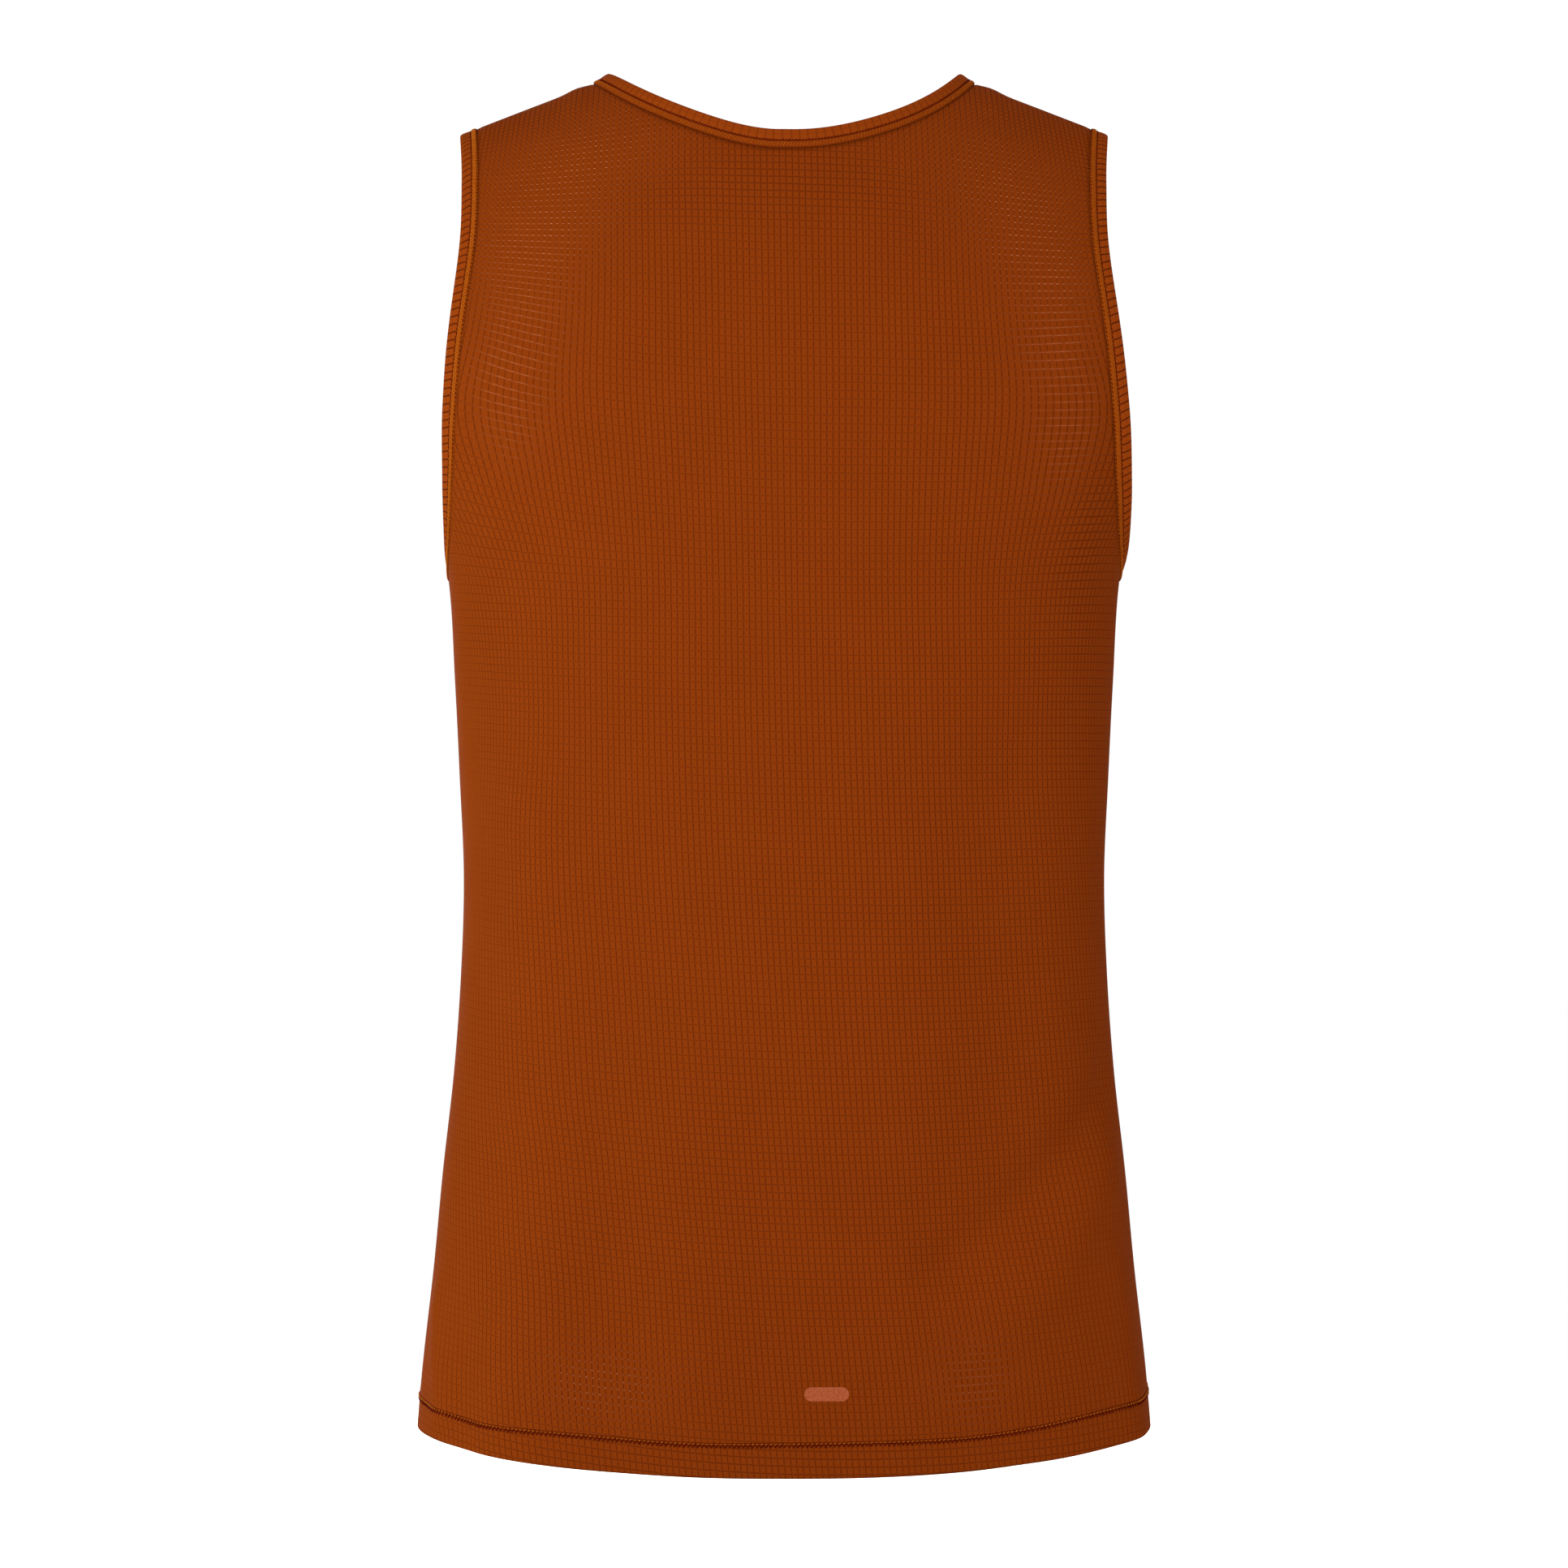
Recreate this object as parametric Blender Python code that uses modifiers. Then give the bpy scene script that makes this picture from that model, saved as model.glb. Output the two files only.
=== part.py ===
"""Sleeveless base layer vest of grid knit, as it hangs when it is worn.

Metres, +Z up. The wearer faces -Y, so the back of the vest is on the +Y side
and the wearer's left is +X. The origin is midway between the two high shoulder
points, where the vest hangs from the wearer's shoulders.

A point of the cloth is given by its panel, its angle round from that panel's
centre line, and its run, the length of centre line from the shoulder line down.
The panels are cut out of that form along the hem, the sides, the armholes, the
shoulders and the neckline, and the bindings follow their edges.
"""

from collections import namedtuple
from math import radians

import bmesh
import bpy
import numpy as np

# Cloth
PLY = 0.0014
HEM_THICKNESS = 0.0027
HEM_TURN_UP = 0.0185
HEM_STEP = 0.0025
SEAM_ALLOWANCE = 0.006
EDGE_INSET = 0.0003

# Bindings, folded strips of the same knit
BINDING_WIDTH = 0.0095
BINDING_THICKNESS = 0.0026
BINDING_PROUD = 0.0006
NECK_BINDING_TILT = radians(20)
ARMHOLE_BINDING_TILT = radians(0)

# Shoulder line: nearly level at the neck, then sloping down to the tips
SHOULDER_CREST = 0.0151
SHOULDER_SLOPE = 0.392
SLOPE_START = 0.045
SLOPE_ROUNDING = 0.030
SHOULDER_FADE = 0.250
SHOULDER_TIP = 0.1530

# Neckline seam, seen from above: half ovals, whose left and right quarters on
# the wearer have a roundness each, 2 for an ellipse and more for a fuller curve
NECK_HALF_WIDTH = 0.0955
NECK_DEPTHS = {"back": 0.0770, "front": 0.0860}
NECK_ROUNDNESS = {("back", "left"): 1.93, ("back", "right"): 2.14,
                  ("front", "left"): 2.10, ("front", "right"): 2.00}
DEEPEST_NECK = 0.200

# Hem, below the high shoulder points
HEM_SIDE = 0.6745
HEM_DIPS = {"back": 0.0140, "front": 0.005}

# Sections across the body. The level is measured down from the shoulder line;
# back, side and front are the places in Y of the centre back, the side seam and
# the centre front. Above the underarm the half width is that of the full round
# which the armhole cuts short.
Section = namedtuple("Section", "level half_width back side front squareness")
SECTIONS = (
    Section(0.000, 0.2060, 0.100, 0.002, -0.106, 2.15),
    Section(0.060, 0.2040, 0.103, 0.004, -0.110, 2.15),
    Section(0.120, 0.1950, 0.107, 0.009, -0.117, 2.20),
    Section(0.165, 0.1850, 0.109, 0.012, -0.120, 2.20),
    Section(0.206, 0.1748, 0.109, 0.014, -0.120, 2.25),
    Section(0.254, 0.1664, 0.108, 0.013, -0.118, 2.30),
    Section(0.304, 0.1634, 0.108, 0.010, -0.115, 2.30),
    Section(0.352, 0.1612, 0.107, 0.007, -0.111, 2.30),
    Section(0.401, 0.1593, 0.106, 0.005, -0.107, 2.30),
    Section(0.450, 0.1608, 0.106, 0.004, -0.106, 2.30),
    Section(0.498, 0.1643, 0.107, 0.003, -0.107, 2.30),
    Section(0.547, 0.1698, 0.108, 0.002, -0.109, 2.35),
    Section(0.595, 0.1744, 0.108, 0.001, -0.111, 2.40),
    Section(0.644, 0.1800, 0.108, 0.000, -0.113, 2.40),
    Section(0.720, 0.1860, 0.108, 0.000, -0.114, 2.40),
)

# Slope of each panel from the shoulder line down to its full depth. The crest is
# how far its rounding at the shoulder line reaches, as a share of that depth.
Cap = namedtuple("Cap", "height power crest")
CAPS = {"back": Cap(0.160, 1.90, 0.02), "front": Cap(0.195, 1.45, 0.18)}

# Armhole seam, from the shoulder tip down to the underarm
ArmholeRow = namedtuple("ArmholeRow", "drop back_half_width front_half_width")
ARMHOLE = (
    ArmholeRow(0.055, 0.1504, 0.1495),
    ArmholeRow(0.090, 0.1508, 0.1465),
    ArmholeRow(0.130, 0.1558, 0.1450),
    ArmholeRow(0.170, 0.1600, 0.1460),
    ArmholeRow(0.208, 0.1624, 0.1510),
    ArmholeRow(0.238, 0.1648, 0.1590),
)
UNDERARM = 0.2545

# Soft folds as strokes on the form, from one end to the other. Around is in
# degrees from the centre back towards the wearer's left; a positive height
# stands out and a negative one is a trough.
Fold = namedtuple("Fold", "name around_1 level_1 around_2 level_2 half_width height")
FOLDS = (
    Fold("right flank hollow", -38, 0.36, -36, 0.56, 0.040, -0.0055),
    Fold("left flank swell", 48, 0.38, 44, 0.50, 0.034, 0.0045),
    Fold("right low trough", -22, 0.51, -34, 0.66, 0.017, -0.0030),
    Fold("left hem corner", 40, 0.58, 42, 0.70, 0.030, 0.0040),
    Fold("left hem ridge", 74, 0.61, 66, 0.66, 0.011, 0.0022),
    Fold("left hem hollow", 57, 0.62, 55, 0.67, 0.013, -0.0020),
    Fold("front left trough", 146, 0.47, 152, 0.66, 0.020, -0.0030),
    Fold("front right ridge", -142, 0.50, -150, 0.68, 0.024, 0.0032),
    Fold("front waist fold", 172, 0.42, -160, 0.45, 0.014, -0.0018),
)
MEAN_RADIUS = 0.140

# Faces of each panel's net, and how late its columns lean over to meet the neck
SHOULDER_FACES = 5
NECK_FACES = {"back": 18, "front": 20}
SIDE_FACES = 18
ARMHOLE_FACES = 18
BINDING_FACES = 3
COLUMN_LEAN = 6

PROFILE_STEPS = 2000
CURVE_STEPS = 40
NECK_STEPS = 200
SEARCH_STEPS = 40
DERIVATIVE_STEP = 1e-4
WELD = 1e-6
MIRROR = np.array((-1.0, 1.0))

# Colours, linear
KNIT_ORANGE = (0.255, 0.038, 0.0035, 1.0)
BINDING_ORANGE = (0.240, 0.034, 0.0033, 1.0)


# ---------------------------------------------------------------- form

def column(name, level):
    """A column of the section table at these levels, as a smooth curve."""
    levels = np.array([row.level for row in SECTIONS])
    values = np.array([getattr(row, name) for row in SECTIONS])
    slopes = np.gradient(values, levels)
    level = np.clip(level, levels[0], levels[-1])
    low = np.clip(np.searchsorted(levels, level, side="right") - 1, 0, len(levels) - 2)
    span = levels[low + 1] - levels[low]
    t = (level - levels[low]) / span
    rise = (values[low + 1] - values[low]) * t * t * (3 - 2 * t)
    start = t * (1 - t) ** 2 * span * slopes[low]
    end = t * t * (t - 1) * span * slopes[low + 1]
    return values[low] + rise + start + end


def signed_power(value, power):
    return np.sign(value) * np.abs(value) ** power


def unit(vectors):
    return vectors / np.linalg.norm(vectors, axis=-1, keepdims=True)


def shoulder_line(x):
    """Height of the shoulder line at x."""
    reach = np.abs(x) - SLOPE_START
    ramp = (np.hypot(reach, SLOPE_ROUNDING) + reach) / 2
    return SHOULDER_CREST - SHOULDER_SLOPE * ramp


def shoulder_share(level):
    """How much of the shoulder slope is left at this level, from 1 to 0."""
    t = np.clip(level / SHOULDER_FADE, 0, 1)
    return 1 - t * t * (3 - 2 * t)


def cap_share(side, level):
    """How much of its full depth a panel has reached at this level."""
    cap = CAPS[side]
    rest = 1 - np.clip(level / cap.height, 0, 1)
    share = (1 - rest ** cap.power) ** (1 / cap.power)
    reach = share * (np.hypot(1, cap.crest) - cap.crest) + cap.crest
    return np.sqrt(reach ** 2 - cap.crest ** 2)


def profile(side):
    """The panel's centre line: its runs and the levels that they reach."""
    levels = SECTIONS[-1].level * np.linspace(0, 1, PROFILE_STEPS) ** 2
    depths = column(side, levels) * cap_share(side, levels)
    steps = np.hypot(np.diff(levels), np.diff(depths))
    return np.concatenate(([0], np.cumsum(steps))), levels


PROFILES = {side: profile(side) for side in CAPS}


def run_at(side, level):
    runs, levels = PROFILES[side]
    return np.interp(level, levels, runs)


def level_at(side, run):
    runs, levels = PROFILES[side]
    return np.interp(run, runs, levels)


def smooth_form(side, angle, run):
    """Points of the form before any fold, as an array of x, y, z."""
    level = level_at(side, run)
    power = 2 / column("squareness", level)
    across = column("half_width", level) * signed_power(np.sin(angle), power)
    edge = column("side", level)
    depth = column(side, level) - edge
    y = (edge + depth * signed_power(np.cos(angle), power)) * cap_share(side, level)
    x = across if side == "back" else -across
    z = shoulder_share(level) * shoulder_line(x) - level
    return np.stack(np.broadcast_arrays(x, y, z), axis=-1)


def outward(side, angle, run):
    """Unit normals of the form, away from the wearer."""
    step = DERIVATIVE_STEP
    around = smooth_form(side, angle + step, run) - smooth_form(side, angle - step, run)
    lower = smooth_form(side, angle, run + step)
    upper = smooth_form(side, angle, np.maximum(run - step, 0))
    return unit(np.cross(upper - lower, around))


def fold_height(side, angle, run):
    """How far the folds stand out of the form at these points."""
    around = np.degrees(angle) + (0 if side == "back" else 180)
    level = level_at(side, run)
    height = np.zeros(np.broadcast(around, level).shape)
    for fold in FOLDS:
        sweep = radians(wrapped(fold.around_2 - fold.around_1)) * MEAN_RADIUS
        fall = fold.level_2 - fold.level_1
        right = np.radians(wrapped(around - fold.around_1)) * MEAN_RADIUS
        down = level - fold.level_1
        along = np.clip((right * sweep + down * fall) / (sweep ** 2 + fall ** 2), 0, 1)
        distance = np.hypot(right - along * sweep, down - along * fall)
        height += fold.height * np.exp(-(distance / fold.half_width) ** 2)
    return height


def wrapped(degrees):
    return (degrees + 180) % 360 - 180


def cloth(side, angle, run):
    """Points of the cloth's outer face, and the normals there."""
    normals = outward(side, angle, run)
    height = fold_height(side, angle, run)
    return smooth_form(side, angle, run) + normals * height[..., None], normals


# ---------------------------------------------------------------- seam lines

def spline(points):
    """A smooth curve through these points; the first and last only steer its ends."""
    points = np.array(points, dtype=float)
    curve = []
    for before, start, end, after in zip(points, points[1:], points[2:], points[3:]):
        for t in np.linspace(0, 1, CURVE_STEPS, endpoint=False):
            curve.append(0.5 * (2 * start + (end - before) * t
                                + (2 * before - 5 * start + 4 * end - after) * t ** 2
                                + (3 * start - before - 3 * end + after) * t ** 3))
    curve.append(points[-2])
    return np.array(curve)


def lengths_along(points):
    steps = np.linalg.norm(np.diff(points, axis=0), axis=1)
    return np.concatenate(([0], np.cumsum(steps)))


def spaced(side, curve, count, last_step=None):
    """The curve in this many equal steps of cloth, with a last step of its own."""
    lengths = lengths_along(smooth_form(side, *curve.T))
    if last_step is None:
        wanted = np.linspace(0, lengths[-1], count + 1)
    else:
        wanted = np.append(np.linspace(0, lengths[-1] - last_step, count), lengths[-1])
    return np.stack([np.interp(wanted, lengths, values) for values in curve.T], axis=1)


def angle_at(level, x):
    """The angle at which the section of this level has this x."""
    share = np.clip(x / column("half_width", level), 0, 1)
    return np.arcsin(share ** (column("squareness", level) / 2))


def level_of_drop(drop, x):
    """The level of the point of the form that lies this far below the origin."""
    level = drop
    for _ in range(SEARCH_STEPS):
        level = drop + shoulder_share(level) * shoulder_line(x)
    return level


def armhole_line(side):
    """Angle and run along one half armhole, from the underarm to the shoulder tip."""
    tip = (angle_at(0.0, SHOULDER_TIP), 0.0)
    rows = []
    for row in ARMHOLE:
        x = getattr(row, side + "_half_width")
        level = level_of_drop(row.drop, x)
        rows.append((angle_at(level, x), run_at(side, level)))
    underarm = (np.pi / 2, run_at(side, UNDERARM))
    mirrored = (np.pi - rows[-1][0], rows[-1][1])
    above = (tip[0], -rows[0][1])
    curve = spline([mirrored, underarm, *reversed(rows), tip, above])
    return spaced(side, curve, ARMHOLE_FACES, SEAM_ALLOWANCE)


def side_line(side):
    """Angle and run up the side seam, from the hem to the underarm."""
    turn = HEM_SIDE - HEM_TURN_UP
    plain = np.linspace(turn - HEM_STEP, UNDERARM, SIDE_FACES - 1)
    levels = np.concatenate(([HEM_SIDE, turn], plain))
    return np.stack((np.full(len(levels), np.pi / 2), run_at(side, levels)), axis=1)


def point_under(side, x, y):
    """Angle and run of the point of the form at this x and distance in y."""
    low, high = 0.0, DEEPEST_NECK
    for _ in range(SEARCH_STEPS):
        run = (low + high) / 2
        angle = angle_at(level_at(side, run), x)
        if abs(smooth_form(side, angle, run)[1]) < y:
            low = run
        else:
            high = run
    return angle, run


def neck_quarter(side, hand):
    """Angle and run along a quarter of the neckline, from the shoulder to the centre."""
    power = 2 / NECK_ROUNDNESS[side, hand]
    points = [(angle_at(0.0, NECK_HALF_WIDTH), 0.0)]
    for turn in np.linspace(0, np.pi / 2, NECK_STEPS)[1:]:
        x = NECK_HALF_WIDTH * signed_power(np.cos(turn), power)
        y = NECK_DEPTHS[side] * signed_power(np.sin(turn), power)
        points.append(point_under(side, x, y))
    return spaced(side, np.array(points), NECK_FACES[side] // 2)


def neck_line(side):
    """Angle and run along a panel's half of the neckline, from its positive angles."""
    hands = ("left", "right") if side == "back" else ("right", "left")
    first, second = (neck_quarter(side, hand) for hand in hands)
    return np.concatenate((first, second[-2::-1] * MIRROR))


def shoulder_seam():
    """Angle and run along one shoulder seam, from the tip to the neck."""
    plain = np.linspace(SHOULDER_TIP - SEAM_ALLOWANCE, NECK_HALF_WIDTH, SHOULDER_FACES)
    xs = np.concatenate(([SHOULDER_TIP], plain))
    return np.stack((angle_at(0.0, xs), np.zeros(len(xs))), axis=1)


def armhole_loop(direction):
    """The seam points all round an armhole: 1 is the wearer's left, -1 the right."""
    back = [("back", direction * angle, run) for angle, run in armhole_line("back")]
    front = [("front", -direction * angle, run) for angle, run in armhole_line("front")]
    return back + front[-2:0:-1]


def neck_loop():
    """The seam points all round the neckline."""
    return [(side, angle, run) for side in CAPS for angle, run in neck_line(side)[:-1]]


# ---------------------------------------------------------------- nets

def panel_net(side):
    """Points of a panel, hem to top by side to side, between its four edges.

    A place across is 1 on the flank at positive angles, 0 on the centre line and
    -1 on the other flank. A climb is 0 at the hem and 1 at the panel's top.
    """
    flank = np.concatenate((side_line(side), armhole_line(side)[1:]))
    shoulder = shoulder_seam()
    top = np.concatenate((shoulder, neck_line(side)[1:-1], shoulder[::-1] * MIRROR))
    width = lengths_along(smooth_form(side, *top.T))
    height = lengths_along(smooth_form(side, *flank.T))
    climb = height[:, None] / height[-1]
    hem_place = 1 - 2 * width / width[-1]
    top_place = top[:, 0] / top[0, 0]
    place = hem_place + (top_place - hem_place) * climb ** COLUMN_LEAN
    angle = flank[:, :1] * place
    flank_climb = 1 - flank[:, 1:] / flank[0, 1]
    climb = climb + (flank_climb - climb) * np.abs(place)
    hem = flank[0, 1] + HEM_DIPS[side] * np.cos(angle[0]) ** 2
    run = hem + (top[:, 1] - hem) * climb
    return drawn_in(cloth(side, angle, run)[0])


def drawn_in(points):
    """The net with its sides and top drawn back from the seam lines."""
    points = points.copy()
    for edge, inner in ((0, 1), (-1, -2)):
        points[:, edge] += unit(points[:, inner] - points[:, edge]) * EDGE_INSET
    points[-1] += unit(points[-2] - points[-1]) * EDGE_INSET
    return points


def binding_net(loop, opening, tilt):
    """Points of a closed strip, from its seam to its free edge.

    The loop is the seam, as (side, angle, run) points, and the opening is a
    point inside it. The tilt turns the free edge outwards from the form.
    """
    found = [cloth(side, np.array([angle]), np.array([run])) for side, angle, run in loop]
    seam = np.array([points[0] for points, _ in found])
    normals = np.array([normals[0] for _, normals in found])
    along = unit(np.roll(seam, -1, axis=0) - np.roll(seam, 1, axis=0))
    across = unit(np.cross(normals, along))
    if np.sum(across * (np.array(opening) - seam)) < 0:
        return binding_net(loop[::-1], opening, tilt)
    lean = across * np.cos(tilt) + normals * np.sin(tilt)
    rows = [seam + normals * BINDING_PROUD + lean * BINDING_WIDTH * share
            for share in np.linspace(0, 1, BINDING_FACES + 1)]
    return np.array([np.concatenate((row, row[:1])) for row in rows])


# ---------------------------------------------------------------- objects

def net_object(name, net, collection):
    """An open surface through the points of a net."""
    rows, columns = net.shape[:2]
    shape = bmesh.new()
    bmesh.ops.create_grid(shape, x_segments=columns - 1, y_segments=rows - 1, size=1)
    for vert in shape.verts:
        place_across = round((vert.co.x + 1) / 2 * (columns - 1))
        place_up = round((vert.co.y + 1) / 2 * (rows - 1))
        vert.co = net[place_up, place_across]
    bmesh.ops.remove_doubles(shape, verts=shape.verts, dist=WELD)
    mesh = bpy.data.meshes.new(name)
    shape.to_mesh(mesh)
    shape.free()
    mesh.shade_smooth()
    piece = bpy.data.objects.new(name, mesh)
    collection.objects.link(piece)
    return piece


def give_wall(piece, thickness):
    """Thicken an open surface inwards."""
    solidify = piece.modifiers.new("Cloth wall", "SOLIDIFY")
    solidify.thickness = thickness
    solidify.offset = -1
    return solidify


def finish(piece, colour, roughness):
    material = bpy.data.materials.new(piece.name)
    material.use_nodes = True
    shader = material.node_tree.nodes["Principled BSDF"]
    shader.inputs["Base Color"].default_value = colour
    shader.inputs["Roughness"].default_value = roughness
    shader.inputs["Metallic"].default_value = 0.0
    piece.data.materials.append(material)


def panel(side, collection):
    """One panel of single cloth, with its hem turned up inside to two layers."""
    net = panel_net(side)
    piece = net_object(side + "_panel", net, collection)
    columns = net.shape[1]
    hem_rows = 2
    doubled = list(range(hem_rows * columns))
    single = list(range(hem_rows * columns, len(piece.data.vertices)))
    layers = piece.vertex_groups.new(name="Layers")
    layers.add(doubled, 1.0, "REPLACE")
    layers.add(single, PLY / HEM_THICKNESS, "REPLACE")
    solidify = give_wall(piece, HEM_THICKNESS)
    solidify.vertex_group = layers.name
    finish(piece, KNIT_ORANGE, 0.85)


def binding(name, net, collection):
    """One folded strip, closed in a ring."""
    piece = net_object(name, net, collection)
    give_wall(piece, BINDING_THICKNESS)
    finish(piece, BINDING_ORANGE, 0.80)


def build():
    for old in list(bpy.data.objects):
        bpy.data.objects.remove(old, do_unlink=True)
    vest = bpy.data.collections.new("base_layer_vest")
    bpy.context.scene.collection.children.link(vest)
    for side in CAPS:
        panel(side, vest)
    neck = binding_net(neck_loop(), (0, 0, -0.03), NECK_BINDING_TILT)
    binding("neck_binding", neck, vest)
    for name, direction in (("left", 1), ("right", -1)):
        armhole = binding_net(armhole_loop(direction), (direction * 0.16, 0, -0.14),
                              ARMHOLE_BINDING_TILT)
        binding("armhole_binding_" + name, armhole, vest)


build()
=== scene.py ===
from collections import namedtuple
from math import radians

import bpy
import numpy as np
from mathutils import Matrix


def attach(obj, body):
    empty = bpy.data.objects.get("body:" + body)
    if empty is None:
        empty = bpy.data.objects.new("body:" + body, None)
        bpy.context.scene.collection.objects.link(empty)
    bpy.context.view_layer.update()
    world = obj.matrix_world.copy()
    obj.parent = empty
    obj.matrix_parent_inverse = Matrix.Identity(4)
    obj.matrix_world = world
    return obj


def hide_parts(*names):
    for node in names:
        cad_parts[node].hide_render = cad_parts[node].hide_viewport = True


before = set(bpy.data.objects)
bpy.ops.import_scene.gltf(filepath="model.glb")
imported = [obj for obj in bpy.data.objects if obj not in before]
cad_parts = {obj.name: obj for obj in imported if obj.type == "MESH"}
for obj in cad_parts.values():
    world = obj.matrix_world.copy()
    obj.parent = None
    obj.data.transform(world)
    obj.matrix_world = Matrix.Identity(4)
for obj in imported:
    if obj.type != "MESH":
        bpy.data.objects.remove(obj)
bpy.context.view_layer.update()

# ---------------------------------------------------------------- camera
# Straight behind the vest and level with its middle.

camera = bpy.data.objects.new("camera", bpy.data.cameras.new("camera"))
bpy.context.scene.collection.objects.link(camera)
camera.data.lens = 128.8
camera.data.sensor_width = 36
camera.location = (0, 2.8, -0.3548)
camera.rotation_euler = (radians(90), 0, radians(180))
bpy.context.scene.camera = camera
bpy.context.scene.view_settings.view_transform = "Standard"


# ---------------------------------------------------------------- studio
# A pale floor under the hanging vest, in even white light. A broad soft key lamp
# stands behind its left side, a rim lamp beyond that, a weak fill behind its right
# side, and one more lamp in front.

def linked(name, data):
    piece = bpy.data.objects.new(name, data)
    bpy.context.scene.collection.objects.link(piece)
    return piece


def plain_material(name, colour, roughness):
    material = bpy.data.materials.new(name)
    material.use_nodes = True
    shader = material.node_tree.nodes["Principled BSDF"]
    shader.inputs["Base Color"].default_value = (*colour, 1)
    shader.inputs["Roughness"].default_value = roughness
    return material


FLOOR_SIDES = 96
FLOOR_RADIUS = 14
FLOOR_HEIGHT = -0.98

floor_mesh = bpy.data.meshes.new("studio_floor")
rim = np.linspace(0, 2 * np.pi, FLOOR_SIDES + 1)[:-1]
floor_points = np.stack((FLOOR_RADIUS * np.cos(rim), FLOOR_RADIUS * np.sin(rim),
                         np.full(FLOOR_SIDES, FLOOR_HEIGHT)), axis=1)
floor_mesh.from_pydata(floor_points.tolist(), [], [list(range(FLOOR_SIDES))])
floor_mesh.materials.append(plain_material("studio_floor", (0.98, 0.98, 0.98), 1.0))
linked("studio_floor", floor_mesh)

# Grey cards beyond the frame deepen the shade on the wearer's right and low down.
Card = namedtuple("Card", "name corner side_1 side_2 grey")
CARDS = (
    Card("right_card", (-0.80, -0.50, -0.66), (0, 0.44, 0), (0, 0, 0.62), 0.05),
    Card("low_card", (-0.20, -0.12, -0.79), (0.40, 0, 0), (0, 0.42, 0), 0.25),
)
for card in CARDS:
    corner, side_1, side_2 = (np.array(part) for part in card[1:4])
    mesh = bpy.data.meshes.new(card.name)
    mesh.from_pydata([corner, corner + side_1, corner + side_1 + side_2, corner + side_2],
                     [], [(0, 1, 2, 3)])
    mesh.materials.append(plain_material(card.name, (card.grey,) * 3, 1.0))
    board = linked(card.name, mesh)
    board.visible_camera = False

world = bpy.data.worlds.new("studio")
world.use_nodes = True
world.node_tree.nodes["Background"].inputs["Color"].default_value = (1, 1, 1, 1)
world.node_tree.nodes["Background"].inputs["Strength"].default_value = 1.02
bpy.context.scene.world = world

Lamp = namedtuple("Lamp", "name place turn width power colour")
LAMPS = (
    Lamp("key_lamp", (0.95, 1.50, -0.02), (93, 0, 147), 0.9, 14.5, (1.0, 1.0, 1.0)),
    Lamp("rim_lamp", (2.20, 0.10, -0.62), (86, 0, 92), 0.9, 27, (0.72, 1.0, 0.85)),
    Lamp("fill_lamp", (-0.85, 2.75, -0.02), (92, 0, 197), 1.2, 21, (1.0, 1.0, 1.0)),
    Lamp("front_lamp", (0.80, -2.60, 0.10), (80, 0, 17), 1.4, 40, (1.0, 1.0, 1.0)),
)
for lamp in LAMPS:
    light = bpy.data.lights.new(lamp.name, "AREA")
    light.size = lamp.width
    light.energy = lamp.power
    light.color = lamp.colour
    holder = linked(lamp.name, light)
    holder.location = lamp.place
    holder.rotation_euler = [radians(turn) for turn in lamp.turn]


# ---------------------------------------------------------------- back panel
# One piece of light grid knit on the fold, worn smooth over the shoulder blades
# with soft folds low down. It is sewn to the front along the shoulders and the
# sides, and its lower edge is turned up inside.

# Sections across the body. The level is measured down from the shoulder line;
# back, side and front are places in Y of the centre back, side and centre front.
Section = namedtuple("Section", "level half_width back side front squareness")
SECTIONS = (
    Section(0.000, 0.2060, 0.100, 0.002, -0.106, 2.15),
    Section(0.060, 0.2040, 0.103, 0.004, -0.110, 2.15),
    Section(0.120, 0.1950, 0.107, 0.009, -0.117, 2.20),
    Section(0.165, 0.1850, 0.109, 0.012, -0.120, 2.20),
    Section(0.206, 0.1748, 0.109, 0.014, -0.120, 2.25),
    Section(0.254, 0.1664, 0.108, 0.013, -0.118, 2.30),
    Section(0.304, 0.1634, 0.108, 0.010, -0.115, 2.30),
    Section(0.352, 0.1612, 0.107, 0.007, -0.111, 2.30),
    Section(0.401, 0.1593, 0.106, 0.005, -0.107, 2.30),
    Section(0.450, 0.1608, 0.106, 0.004, -0.106, 2.30),
    Section(0.498, 0.1643, 0.107, 0.003, -0.107, 2.30),
    Section(0.547, 0.1698, 0.108, 0.002, -0.109, 2.35),
    Section(0.595, 0.1744, 0.108, 0.001, -0.111, 2.40),
    Section(0.644, 0.1800, 0.108, 0.000, -0.113, 2.40),
    Section(0.720, 0.1860, 0.108, 0.000, -0.114, 2.40),
)

# Slope of each panel from the shoulder line down to its full depth
Cap = namedtuple("Cap", "height power crest")
CAPS = {"back": Cap(0.160, 1.90, 0.02), "front": Cap(0.195, 1.45, 0.18)}
SHOULDER_CREST = 0.0151
SHOULDER_SLOPE = 0.392
SLOPE_START = 0.045
SLOPE_ROUNDING = 0.030
SHOULDER_FADE = 0.250
SHOULDER_TIP = 0.1530

# Neckline seam, seen from above, with a roundness for each quarter
NECK_HALF_WIDTH = 0.0955
NECK_DEPTHS = {"back": 0.0770, "front": 0.0860}
NECK_ROUNDNESS = {("back", "left"): 1.93, ("back", "right"): 2.14,
                  ("front", "left"): 2.10, ("front", "right"): 2.00}

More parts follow.
